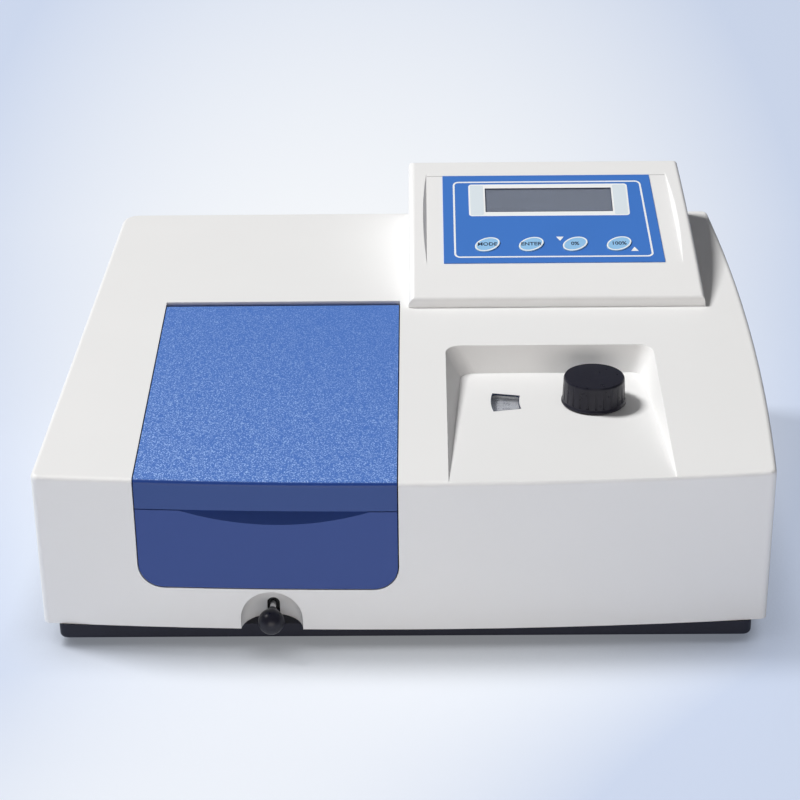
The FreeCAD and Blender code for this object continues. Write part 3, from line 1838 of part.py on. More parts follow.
def make_dial_window():
    """A clear pane that fills the window from below, with a brim under the pan."""
    top = recess_z - d.window_rest
    low = recess_z - d.cover_wall
    brim = window_form("pane_brim", 2 * d.pane_wall, low - d.dial_gap / 2, d.dial_gap / 2)
    pane = window_form("pane", 0, low - NEAR / 2, top - low + NEAR / 2)
    return fuse("dial_window", brim, pane)


def make_grating_drive():
    """The grating's shaft with its table, the arm that the cam pushes, and the grating."""
    shaft_start = floor_z + d.case_wall / 2 + d.running_gap
    arm_z = cam_z + d.cam_height + NEAR
    table_z = floor_z + d.case_wall + d.table_level
    shaft = rod(
        "grating_bar",
        grating_x,
        d.knob_y,
        shaft_start,
        d.shaft_radius,
        arm_z + d.arm_height - shaft_start,
    )
    table = rod("grating_table", grating_x, d.knob_y, table_z, d.table_radius, d.table_height)
    holder = block(
        "grating_back",
        grating_x - d.grating_size / 2,
        d.knob_y + d.shaft_radius - NEAR,
        table_z + d.table_height,
        d.grating_size,
        NEAR + d.shaft_radius / 2,
        d.grating_size,
    )
    shaft_whole = fuse("grating_shaft", shaft, table, holder)
    grating = block(
        "diffraction_grating",
        grating_x - d.grating_size / 2,
        d.knob_y + d.shaft_radius * 1.5,
        table_z + d.table_height,
        d.grating_size,
        d.grating_depth,
        d.grating_size,
    )
    reach = d.arm_length
    follower_x = grating_x + reach * cosine(d.arm_angle)
    follower_y = d.knob_y + reach * sine(d.arm_angle)
    bar = doc.addObject("Part::Box", "arm_bar")
    bind(bar, Length=reach, Width=d.arm_width, Height=d.arm_height)
    half = d.arm_width / 2
    place(
        bar,
        grating_x + half * sine(d.arm_angle),
        d.knob_y - half * cosine(d.arm_angle),
        arm_z,
        (0, 0, 1),
        d.arm_angle,
    )
    arm = cut(
        "grating_arm",
        fuse(
            "arm_whole",
            bar,
            rod("arm_hub", grating_x, d.knob_y, arm_z - NEAR, d.hub_radius, d.arm_height + NEAR),
            rod("arm_end", follower_x, follower_y, arm_z, half, d.arm_height),
            rod(
                "arm_follower",
                follower_x,
                follower_y,
                cam_z,
                d.follower_radius,
                arm_z - cam_z + d.arm_height / 2,
            ),
        ),
        rod("arm_bore", grating_x, d.knob_y, arm_z - FAR / 2, d.shaft_radius, FAR),
    )
    return shaft_whole, arm, grating


nodes["wavelength_knob"] = make_knob()
nodes["knob_shaft"] = make_knob_shaft()
nodes["knob_bush"] = make_knob_bush()
nodes["countershaft"], nodes["counter_gear"] = make_countershaft()
nodes["dial_gear"] = make_dial_gear()
nodes["grating_cam"] = make_cam()
nodes["wavelength_dial"] = ring(
    "wavelength_dial",
    d.knob_x,
    d.knob_y,
    dial_z,
    d.dial_radius,
    d.shaft_radius + d.cam_gap,
    d.dial_height,
)
nodes["dial_window"] = make_dial_window()
nodes["grating_shaft"], nodes["grating_arm"], nodes["diffraction_grating"] = make_grating_drive()


# Lamp house behind the monochromator.

lamp_front = case_back + d.lamp_gap


def make_lamp_house():
    wall = d.lamp_wall
    outside = block(
        "lamp_outside", d.lamp_left, lamp_front, floor_z, d.lamp_width, d.lamp_depth, d.lamp_height
    )
    hollow = block(
        "lamp_hollow",
        d.lamp_left + wall,
        lamp_front + wall,
        floor_z + wall,
        d.lamp_width - 2 * wall,
        d.lamp_depth - 2 * wall,
        d.lamp_height - 2 * wall,
    )
    light_hole = rod(
        "lamp_hole",
        d.entrance_x,
        lamp_front - NEAR,
        beam_z,
        d.slit_height,
        wall + 2 * NEAR,
        "y",
    )
    vents = [
        block(
            "lamp_vent_%d" % i,
            d.lamp_left
            + d.lamp_width / 2
            + d.vent_pitch * (i - (d.lamp_vents - 1) / 2)
            - d.vent_width / 2,
            lamp_front + d.lamp_depth / 4,
            floor_z + d.lamp_height - wall - NEAR,
            d.vent_width,
            d.lamp_depth / 2,
            wall + 2 * NEAR,
        )
        for i in range(int(val(d.lamp_vents)))
    ]
    return cut("lamp_house", outside, hollow, light_hole, *vents)


def make_lamp(name, x, radius, length):
    """A lamp on its socket: a round bulb drawn in to its sealed tip."""
    y, z = lamp_front + d.lamp_depth / 2, floor_z + d.lamp_wall
    base = rod(name + "_base", x, y, z, radius - d.lamp_wall, d.socket_height)
    bulb_z = z + d.socket_height
    bulb = rod(name + "_bulb", x, y, bulb_z, radius, length - radius)
    shoulder = cone(name + "_shoulder", x, y, bulb_z + length - radius, radius, radius / 3, radius)
    return fuse(name, base, bulb, shoulder)


nodes["lamp_house"] = make_lamp_house()
nodes["halogen_lamp"] = make_lamp("halogen_lamp", d.entrance_x, d.bulb_radius, d.bulb_length)
nodes["deuterium_lamp"] = make_lamp(
    "deuterium_lamp", d.entrance_x + 4 * d.bulb_radius, d.arc_radius, d.arc_length
)


# Transformer and main board.

def make_transformer():
    y = d.front_y + d.core_start
    core = block("core", d.core_left, y, floor_z, d.core_width, d.core_depth, d.core_height)
    limb = d.core_height / 6
    coil = block(
        "coil",
        d.core_left + limb,
        y - d.coil_swell,
        floor_z + limb,
        d.core_width - 2 * limb,
        d.core_depth + 2 * d.coil_swell,
        d.core_height - 2 * limb,
    )
    soft = fillet(
        "coil_soft", coil, (d.coil_swell / 2, lambda e: abs(direction_of(e).y) < 0.01)
    )
    return fuse("transformer", core, soft)


# Chips as shares of the board, then height; cans as shares, then radius and height.
BOARD_CHIPS = [
    (0.15, 0.45, 0.24, 0.24, 3.0),
    (0.50, 0.55, 0.16, 0.09, 4.0),
    (0.50, 0.72, 0.16, 0.09, 4.0),
    (0.78, 0.30, 0.05, 0.45, 22.0),
    (0.15, 0.84, 0.50, 0.08, 9.0),
]
BOARD_CANS = [(0.15, 0.18, 6.0, 20.0), (0.30, 0.18, 6.0, 20.0), (0.45, 0.18, 4.0, 12.0)]


def make_main_board():
    y, z = d.front_y + d.board_start, floor_z + d.board_rise
    board = block("board_sheet", d.board_left, y, z, d.board_width, d.board_depth, d.board_wall)
    inset = 2 * d.standoff_radius
    legs = [
        rod("board_leg_%d" % i, leg_x, leg_y, floor_z, d.standoff_radius, d.board_rise)
        for i, (leg_x, leg_y) in enumerate(
            (side_x, side_y)
            for side_x in (d.board_left + inset, d.board_left + d.board_width - inset)
            for side_y in (y + inset, y + d.board_depth - inset)
        )
    ]
    top = z + d.board_wall
    chips = [
        block(
            "board_chip_%d" % i,
            d.board_left + d.board_width * share_x,
            y + d.board_depth * share_y,
            top,
            d.board_width * wide,
            d.board_depth * deep,
            high,
        )
        for i, (share_x, share_y, wide, deep, high) in enumerate(BOARD_CHIPS)
    ]
    cans = [
        rod(
            "board_can_%d" % i,
            d.board_left + d.board_width * share_x,
            y + d.board_depth * share_y,
            top,
            can_radius,
            can_height,
        )
        for i, (share_x, share_y, can_radius, can_height) in enumerate(BOARD_CANS)
    ]
    return fuse("main_board", board, *legs, *chips, *cans)


nodes["transformer"] = make_transformer()
nodes["main_board"] = make_main_board()


# Rear panel with the fan, mains inlet, switch, fuse and data socket.

panel_y = back_y - d.cover_wall - d.panel_wall
outer_y = back_y - d.cover_wall
fan_z = floor_z + d.fan_height
fittings_z = floor_z + d.inlet_level


def make_rear_panel():
    sheet_plate = block(
        "panel_sheet",
        d.panel_left - d.panel_lap,
        panel_y,
        floor_z,
        d.panel_width + 2 * d.panel_lap,
        d.panel_wall,
        d.panel_height + d.panel_lap,
    )
    deep = d.panel_wall + 2 * NEAR
    start = panel_y - NEAR
    slots = []
    for i in range(-2, 3):
        offset = d.vent_pitch * i
        reach = d.fan_bore - d.vent_width
        half = root(reach * reach - offset * offset)
        slots.append(
            block(
                "fan_slot_%d" % (i + 2),
                d.fan_x + offset - d.vent_width / 2,
                start,
                fan_z - half,
                d.vent_width,
                deep,
                2 * half,
            )
        )
    vent_height = d.panel_height / 3
    vents = [
        block(
            "panel_vent_%d" % i,
            d.socket_x + d.socket_width + d.vent_pitch * i,
            start,
            fan_z - vent_height / 2,
            d.vent_width,
            deep,
            vent_height,
        )
        for i in range(int(val(d.panel_vents)))
    ]
    inlet_hole = block(
        "inlet_hole",
        d.inlet_x - d.inlet_width / 2,
        start,
        fittings_z - d.inlet_height / 2,
        d.inlet_width,
        deep,
        d.inlet_height,
    )
    switch_hole = block(
        "switch_hole",
        d.switch_x - d.switch_width / 2,
        start,
        fittings_z - d.switch_height / 2,
        d.switch_width,
        deep,
        d.switch_height,
    )
    fuse_hole = rod("fuse_hole", d.fuse_x, start, fittings_z, d.fuse_radius, deep, "y")
    socket_hole = block(
        "socket_hole",
        d.socket_x - d.shell_width / 2,
        start,
        fittings_z - d.shell_tall / 2,
        d.shell_width,
        deep,
        d.shell_tall,
    )
    return cut(
        "rear_panel", sheet_plate, *slots, *vents, inlet_hole, switch_hole, fuse_hole, socket_hole
    )


def make_mains_inlet():
    """A three-pin appliance inlet, flanged on the outside of the panel."""
    inside_y = panel_y - d.inlet_depth
    width, height = d.inlet_width, d.inlet_height
    body = block(
        "inlet_body",
        d.inlet_x - width / 2,
        inside_y,
        fittings_z - height / 2,
        width,
        outer_y - inside_y,
        height,
    )
    flange = block(
        "inlet_plate",
        d.inlet_x - width / 2 - d.inlet_flange,
        outer_y,
        fittings_z - height / 2 - d.inlet_flange / 2,
        width + 2 * d.inlet_flange,
        d.flange_wall,
        height + d.inlet_flange,
    )
    margin = d.flange_wall * 2
    cavity_y = inside_y + d.inlet_depth / 4
    cavity = block(
        "inlet_cavity",
        d.inlet_x - width / 2 + margin,
        cavity_y,
        fittings_z - height / 2 + margin,
        width - 2 * margin,
        FAR,
        height - 2 * margin,
    )
    hollow = cut("inlet_shell", fuse("inlet_whole", body, flange), cavity)
    pin_depth, pin_width = d.inlet_depth / 2, d.flange_wall
    pin_gap = width / 4
    pins = [
        block(
            "inlet_pin_%d" % i,
            d.inlet_x + pin_gap * side - pin_width / 2,
            cavity_y - NEAR,
            fittings_z - d.flange_wall * 1.5 + d.flange_wall * rise,
            pin_width,
            pin_depth + NEAR,
            d.flange_wall * 3,
        )
        for i, (side, rise) in enumerate(((-1, -1), (0, 1), (1, -1)))
    ]
    return fuse("mains_inlet", hollow, *pins)


def make_switch():
    """The switch's housing and its rocker, which tips about an axle along X."""
    inside_y = panel_y - d.switch_depth
    width, height = d.switch_width, d.switch_height
    wall = d.flange_wall
    body = block(
        "switch_body",
        d.switch_x - width / 2,
        inside_y,
        fittings_z - height / 2,
        width,
        outer_y - inside_y,
        height,
    )
    flange = block(
        "switch_plate",
        d.switch_x - width / 2 - wall,
        outer_y,
        fittings_z - height / 2 - wall,
        width + 2 * wall,
        wall,
        height + 2 * wall,
    )
    axle_y = outer_y - d.rocker_radius / 2
    cavity = rod(
        "switch_cavity",
        d.switch_x - width / 2 + wall,
        axle_y,
        fittings_z,
        d.rocker_radius + d.rocker_gap,
        width - 2 * wall,
        "x",
    )
    axle_hole = rod(
        "switch_axle_hole",
        d.switch_x - width / 2 + wall / 2,
        axle_y,
        fittings_z,
        d.pin_radius + d.running_gap,
        width - wall,
        "x",
    )
    housing = cut("switch_housing", fuse("switch_whole", body, flange), cavity, axle_hole)
    paddle = rod(
        "rocker_round",
        d.switch_x - width / 2 + wall + d.rocker_gap,
        axle_y,
        fittings_z,
        d.rocker_radius,
        width - 2 * wall - 2 * d.rocker_gap,
        "x",
    )
    axle = rod(
        "rocker_axle",
        d.switch_x - width / 2 + wall / 2 + d.rocker_gap / 2,
        axle_y,
        fittings_z,
        d.pin_radius,
        width - wall - d.rocker_gap,
        "x",
    )
    face_radius = d.rocker_radius * 2
    dish_reach = outer_y - axle_y + face_radius + wall / 3
    dish = rod(
        "rocker_dish",
        d.switch_x - width / 2,
        axle_y + dish_reach * cosine(d.rocker_tip),
        fittings_z - dish_reach * sine(d.rocker_tip),
        face_radius,
        width,
        "x",
    )
    rocker = cut("power_rocker", fuse("rocker_whole", paddle, axle), dish)
    return housing, rocker


def make_fuse_holder():
    """A screw-in fuse carrier with a slotted cap."""
    start = panel_y - d.fuse_length
    barrel = rod(
        "fuse_barrel", d.fuse_x, start, fittings_z, d.fuse_radius, outer_y - start, "y"
    )
    cap = rod("fuse_cap", d.fuse_x, outer_y, fittings_z, d.fuse_radius + NEAR, d.flange_wall, "y")
    slot = block(
        "fuse_slot",
        d.fuse_x - d.fuse_radius / 2,
        outer_y + d.flange_wall / 2,
        fittings_z - d.flange_wall / 2,
        d.fuse_radius,
        FAR,
        d.flange_wall,
    )
    return cut("fuse_holder", fuse("fuse_whole", barrel, cap), slot)


def make_data_socket():
    """A nine-pin data socket: flange outside, metal shell, body behind the panel."""
    start = panel_y - d.socket_depth
    body = block(
        "data_body",
        d.socket_x - d.shell_width / 2,
        start,
        fittings_z - d.shell_tall / 2,
        d.shell_width,
        outer_y - start,
        d.shell_tall,
    )
    flange = block(
        "data_flange",
        d.socket_x - d.socket_width / 2,
        outer_y,
        fittings_z - d.socket_tall / 2,
        d.socket_width,
        d.flange_wall / 2,
        d.socket_tall,
    )
    shell = block(
        "data_shell",
        d.socket_x - d.shell_width / 2,
        outer_y,
        fittings_z - d.shell_tall / 2,
        d.shell_width,
        d.flange_wall * 1.5,
        d.shell_tall,
    )
    contacts = [
        rod(
            "data_contact_%s_%d" % (row, i),
            d.socket_x + d.shell_width * (i - (count - 1) / 2) / 6,
            outer_y,
            fittings_z + side * d.shell_tall / 5,
            d.flange_wall / 3,
            FAR,
            "y",
        )
        for row, side, count in (("upper", 1, 5), ("lower", -1, 4))
        for i in range(count)
    ]
    return cut("data_socket", fuse("data_whole", body, flange, shell), *contacts)


fan_front = panel_y - d.fan_depth


def make_fan():
    """A square fan frame with a hub spider, and the rotor on its shaft."""
    half = d.fan_size / 2
    frame = block(
        "fan_block", d.fan_x - half, fan_front, fan_z - half, d.fan_size, d.fan_depth, d.fan_size
    )
    bore = rod(
        "fan_bore", d.fan_x, fan_front - NEAR, fan_z, d.fan_bore, d.fan_depth + 2 * NEAR, "y"
    )
    spider_wall = d.flange_wall
    hub = rod("spider_hub", d.fan_x, fan_front, fan_z, d.fan_hub, spider_wall, "y")
    arms = [
        block(
            "spider_arm_%d" % i,
            d.fan_x - (d.fan_bore + NEAR if i == 0 else spider_wall),
            fan_front,
            fan_z - (spider_wall if i == 0 else d.fan_bore + NEAR),
            2 * (d.fan_bore + NEAR if i == 0 else spider_wall),
            spider_wall,
            2 * (spider_wall if i == 0 else d.fan_bore + NEAR),
        )
        for i in range(2)
    ]
    shaft_hole = rod(
        "fan_shaft_hole",
        d.fan_x,
        fan_front - NEAR,
        fan_z,
        d.fan_shaft + d.running_gap,
        d.fan_depth,
        "y",
    )
    fan_frame = cut(
        "fan_frame", fuse("fan_frame_whole", cut("fan_ring", frame, bore), hub, *arms), shaft_hole
    )
    body = new_body("fan_rotor")
    hub_start = spider_wall + d.rocker_gap
    revolve(
        body,
        "rotor_hub",
        [
            (0, 0),
            (d.fan_shaft, 0),
            (d.fan_shaft, hub_start),
            (d.fan_hub, hub_start),
            (d.fan_hub, d.fan_depth - d.blade_gap),
            (0, d.fan_depth - d.blade_gap),
        ],
    )
    blade_sketch = body_sketch(body, "blade_sketch", "XY_Plane", hub_start + d.blade_gap)
    tip = d.fan_bore - d.blade_gap
    outline(
        blade_sketch,
        [
            (0, -d.blade_wall / 2),
            (tip, -d.blade_wall / 2),
            (tip, d.blade_wall / 2),
            (0, d.blade_wall / 2),
        ],
    )
    blade = add_feature(
        body,
        "Pad",
        "fan_blade",
        blade_sketch,
        Length=d.fan_depth - hub_start - 3 * d.blade_gap,
    )
    doc.recompute()
    polar(body, blade, blade_sketch, d.blade_count)
    return fan_frame, place(body, d.fan_x, fan_front, fan_z, (1, 0, 0), -90)


nodes["rear_panel"] = make_rear_panel()
nodes["mains_inlet"] = make_mains_inlet()
nodes["switch_housing"], nodes["power_rocker"] = make_switch()
nodes["fuse_holder"] = make_fuse_holder()
nodes["data_socket"] = make_data_socket()
nodes["fan_frame"], nodes["fan_rotor"] = make_fan()


# Display housing with its panel, display and keys.

pod_back = pod_y + d.pod_depth
lip_z = top_z(pod_y) + d.pod_lip
rise = d.pod_top - lip_z
chord = root(rise * rise + d.pod_depth * d.pod_depth)
arch_radius = (chord * chord / 4 + d.pod_arch * d.pod_arch) / (2 * d.pod_arch)


def arch_height(along):
    """Height of the arched top above its chord, at a distance up the chord."""
    offset = along - chord / 2
    return root(arch_radius * arch_radius - offset * offset) - (arch_radius - d.pod_arch)


def arch_point(along):
    """Y and Z of a point of the arched top."""
    high = arch_height(along)
    return (
        pod_y + (along * d.pod_depth - high * rise) / chord,
        lip_z + (along * rise + high * d.pod_depth) / chord,
    )


sunk_y, sunk_z = arch_point(d.panel_start)
sunk_end_y, sunk_end_z = arch_point(d.panel_end)
sunk_length = root(
    (sunk_end_y - sunk_y) * (sunk_end_y - sunk_y) + (sunk_end_z - sunk_z) * (sunk_end_z - sunk_z)
)
panel_sine = (sunk_end_z - sunk_z) / sunk_length
panel_cosine = (sunk_end_y - sunk_y) / sunk_length
panel_angle = arctangent((sunk_end_z - sunk_z) / (sunk_end_y - sunk_y))


def put_on_panel(thing, across=0, up=0, out=0):
    """Places a thing in the sunk panel's frame: from its middle, up it and out of it."""
    return place(
        thing,
        pod_middle + across,
        sunk_y + up * panel_cosine - out * panel_sine,
        sunk_z + up * panel_sine + out * panel_cosine,
        (1, 0, 0),
        panel_angle,
    )


def panel_block(name, across, up, out, dx, dy, dz):
    """A box in the sunk panel's frame."""
    box = doc.addObject("Part::Box", name)
    bind(box, Length=dx, Width=dy, Height=dz)
    return put_on_panel(box, across, up, out)


def pod_form(name, inset):
    """The display housing's arched form with its leaning right side, moved in by inset."""
    bottom = top_z(pod_y) - d.cover_wall
    corners = [
        (pod_y + inset, bottom),
        (pod_back - inset, bottom),
        (pod_back - inset, d.pod_top - inset, d.pod_arch),
        (pod_y + inset, lip_z - inset),
    ]
    side = profile(name + "_side", "yz", corners, x=d.pod_left - FAR)
    arched = extrude(name + "_arched", side, d.pod_width + 2 * FAR, (1, 0, 0))
    foot_z = top_z(pod_back)

    def level(part, z):
        up = z - foot_z
        sketch = doc.addObject("Sketcher::SketchObject", name + part)
        place(sketch, 0, 0, z)
        left = d.pod_left + inset
        right = d.pod_left + d.pod_width - up * d.pod_draft - inset
        front, back = pod_y - FAR, pod_back + FAR
        outline(sketch, [(left, front), (right, front), (right, back), (left, back)])
        return sketch

    loft = doc.addObject("Part::Loft", name + "_loft")
    loft.Sections = [level("_low", bottom - NEAR), level("_high", d.pod_top + NEAR)]
    loft.Solid = True
    loft.Ruled = True
    return common(name, arched, loft)


def above_cover(name, thing):
    """What of a thing stands on the cover's top surface."""
    below = slab(
        name + "_below",
        d.pod_left - FAR,
        d.pod_width + 2 * FAR,
        pod_y - FAR,
        pod_back + FAR,
        0,
        2 * FAR,
    )
    return cut(name, thing, below)


def key_spots():
    """Middle of each key across the panel."""
    count = int(val(d.key_count))
    return [d.key_shift + (i - (count - 1) / 2) * d.key_pitch for i in range(count)]


def oval(name, across, up, out, grow, height):
    """An upright oval prism in the panel's frame, with its long axis turned."""
    curve = doc.addObject("Part::Ellipse", name + "_curve")
    bind(curve, MajorRadius=d.key_width / 2 + grow, MinorRadius=d.key_length / 2 + grow)
    place(curve, 0, 0, 0, (0, 0, 1), d.key_turn)
    prism = extrude(name + "_prism", curve, height)
    return put_on_panel(group(name, prism), across, up, out)


def panel_plan(name, left, right, low, high, grow=0, out=0):
    """An outline in the panel's frame whose right side leans in as it climbs."""
    corners = [
        (-left - grow, low),
        (right + grow - low * d.panel_lean, low),
        (right + grow - high * d.panel_lean, high),
        (-left - grow, high),
    ]
    return profile(name, "xy", corners, z=out)


module_z = -d.pod_wall - d.module_depth
board_z = module_z - d.board_wall
flange_z = -d.pod_wall - d.key_gap - d.key_flange
overlay_end = d.overlay_start + d.overlay_length
board_half = (d.overlay_left + d.overlay_right) / 2


def make_display_housing():
    outside = pod_form("pod_outside", 0)
    crest = val(lip_z) - 0.5
    back = val(pod_back) - 0.1

    def is_upper(edge):
        p = middle(edge)
        if is_upright(edge) or p.z < crest:
            return False
        return abs(direction_of(edge).x) < 0.9 or p.y > back or p.y < val(pod_y) + 0.1

    def is_left(edge):
        return is_upper(edge) and middle(edge).x < val(d.pod_left) + 0.1

    soft = fillet("pod_soft", outside, (d.pod_left_round, is_left), (d.pod_round, is_upper))
    below_panel = panel_block(
        "below_panel",
        -d.pod_width,
        -d.pod_depth,
        -d.pod_wall - 3 * FAR,
        2 * d.pod_width,
        3 * d.pod_depth,
        3 * FAR,
    )
    hollow = common("pod_hollow", pod_form("pod_inside", d.pod_wall), below_panel)
    flare = d.pod_arch * d.sunk_draft
    sunk = doc.addObject("Part::Loft", "sunk_loft")
    sunk.Sections = [
        panel_plan("sunk_floor", d.sunk_left, d.sunk_right, 0, sunk_length),
        panel_plan("sunk_mouth", d.sunk_left, d.sunk_right, 0, sunk_length, flare, d.pod_arch),
    ]
    sunk.Solid = True
    sunk.Ruled = True
    sunk = put_on_panel(group("sunk_panel", sunk))
    display_hole = panel_block(
        "display_hole",
        -d.display_left,
        d.display_start,
        -FAR,
        d.display_width,
        d.display_length,
        2 * FAR,
    )
    key_holes = [
        oval("key_hole_%d" % i, x, d.key_start, -2 * d.pod_wall, d.key_gap, 3 * d.pod_wall)
        for i, x in enumerate(key_spots())
    ]
    pillars = [
        panel_block(
            "pod_pillar_%d" % i,
            across - d.standoff_radius,
            up - d.standoff_radius,
            module_z,
            2 * d.standoff_radius,
            2 * d.standoff_radius,
            d.module_depth + NEAR,
        )
        for i, (across, up) in enumerate(pillar_spots())
    ]
    shell = cut("pod_shell", soft, hollow, sunk, display_hole, *key_holes)
    return above_cover("display_housing", fuse("pod_whole", shell, *pillars))


def pillar_spots():
    """The pillars that carry the display board."""
    half = board_half - d.board_margin
    low, high = d.overlay_start + d.board_margin, d.overlay_length - d.board_margin
    return [(-half, low), (half, low), (half, high), (-half, high)]


def make_overlay():
    """The printed film over the panel, open at the display and the keys."""
    plan = panel_plan(
        "overlay_plan", d.overlay_left, d.overlay_right, d.overlay_start, overlay_end
    )
    film = put_on_panel(group("overlay_film", extrude("overlay_sheet", plan, d.overlay_wall)))
    hole = panel_block(
        "overlay_hole",
        -d.display_left,
        d.display_start,
        -NEAR,
        d.display_width,
        d.display_length,
        d.overlay_wall + 2 * NEAR,
    )
    key_holes = [
        oval("overlay_key_%d" % i, x, d.key_start, -NEAR, d.key_gap, d.overlay_wall + 2 * NEAR)
        for i, x in enumerate(key_spots())
    ]
    return cut("keypad_overlay", film, hole, *key_holes)


def make_display():
    """The display module with its raised glass, and the clear pane in the overlay."""
    margin = d.module_margin
    frame = panel_block(
        "module_frame",
        -d.display_left - margin,
        d.display_start - margin,
        module_z,
        d.display_width + 2 * margin,
        d.display_length + 2 * margin,
        d.module_depth,
    )
    glass = panel_block(
        "module_glass",
        -d.display_left,
        d.display_start,
        -d.pod_wall,
        d.display_width,
        d.display_length,
        d.pod_wall,
    )
    pane = panel_block(
        "display_window",
        -d.display_left,
        d.display_start,
        0,
        d.display_width,
        d.display_length,
        d.overlay_wall,
    )
    return fuse("display_module", frame, glass), pane


def make_display_board():
    board = panel_block(
        "display_board",
        -board_half,
        d.overlay_start,
        board_z,
        2 * board_half,
        d.overlay_length,
        d.board_wall,
    )
    mat_width = (d.key_count - 1) * d.key_pitch + 1.5 * d.key_width
    mat = panel_block(
        "key_mat",
        d.key_shift - mat_width / 2,
        d.key_start - d.key_length / 2 - d.key_lip,
        module_z,
        mat_width,
        d.key_length + 2 * d.key_lip,
        flange_z - d.key_travel - d.running_gap - module_z,
    )
    return board, mat


def make_key(number, across):
    """A key cap held from above by its flange, which presses the mat."""
    name = "key_%d" % number
    top = d.overlay_wall + d.key_proud
    cap = oval(name + "_cap", across, d.key_start, flange_z, 0, top - flange_z)
    flange = oval(name + "_flange", across, d.key_start, flange_z, d.key_lip, d.key_flange)
    return fuse(name, cap, flange)


nodes["display_housing"] = make_display_housing()
nodes["keypad_overlay"] = make_overlay()
nodes["display_module"], nodes["display_window"] = make_display()
nodes["display_board"], nodes["key_mat"] = make_display_board()
for number, across in enumerate(key_spots(), start=1):
    nodes["key_%d" % number] = make_key(number, across)


def write_parts():
    """Checks every object and writes one STEP file per piece."""
    doc.recompute()
    broken = [o.Name for o in doc.Objects if "Invalid" in o.State or "Error" in o.State]
    if broken:
        raise RuntimeError("objects failed to build: %s" % broken)
    os.makedirs("parts", exist_ok=True)
    for name, piece in nodes.items():
        shape = piece.Shape
        if shape.isNull() or not shape.isValid():
            raise RuntimeError("piece %s is empty or invalid" % name)
        piece.Label = name
        shape.exportStep("parts/%s.step" % name)
        print(name, len(shape.Solids), "solids", round(shape.Volume / 1000, 2), "cm3")


write_parts()
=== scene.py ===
"""Looks of a bench uv-vis spectrophotometer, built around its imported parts.

Lengths are in metres: x to the instrument's right, y to its back, z up.
"""

import json
import math

import bmesh
import bpy
from mathutils import Matrix, Vector


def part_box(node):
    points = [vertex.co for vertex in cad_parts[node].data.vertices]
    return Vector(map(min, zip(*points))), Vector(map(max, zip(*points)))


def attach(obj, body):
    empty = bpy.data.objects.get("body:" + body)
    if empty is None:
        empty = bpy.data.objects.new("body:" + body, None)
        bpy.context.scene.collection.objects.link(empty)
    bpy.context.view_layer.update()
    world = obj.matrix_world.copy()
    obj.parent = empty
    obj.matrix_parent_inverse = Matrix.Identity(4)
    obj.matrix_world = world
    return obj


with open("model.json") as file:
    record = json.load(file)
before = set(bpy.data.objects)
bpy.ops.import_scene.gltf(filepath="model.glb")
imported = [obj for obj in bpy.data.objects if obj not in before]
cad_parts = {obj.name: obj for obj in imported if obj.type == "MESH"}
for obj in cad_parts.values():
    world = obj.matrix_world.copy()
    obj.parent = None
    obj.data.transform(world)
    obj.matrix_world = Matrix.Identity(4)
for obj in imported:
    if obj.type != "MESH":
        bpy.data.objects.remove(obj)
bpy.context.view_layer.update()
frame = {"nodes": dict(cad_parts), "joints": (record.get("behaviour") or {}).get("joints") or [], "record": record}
nodes = frame["nodes"]
joints = {joint["name"]: joint for joint in frame["joints"]}
slots = {part["node"]: part["material_slot"] for part in frame["record"]["subparts"]}

mm = 0.001
ink = 0.06 * mm  # thickness of print
unit_wave = 0.05 * 2 * math.pi  # scale at which a wave texture repeats each metre


# Materials

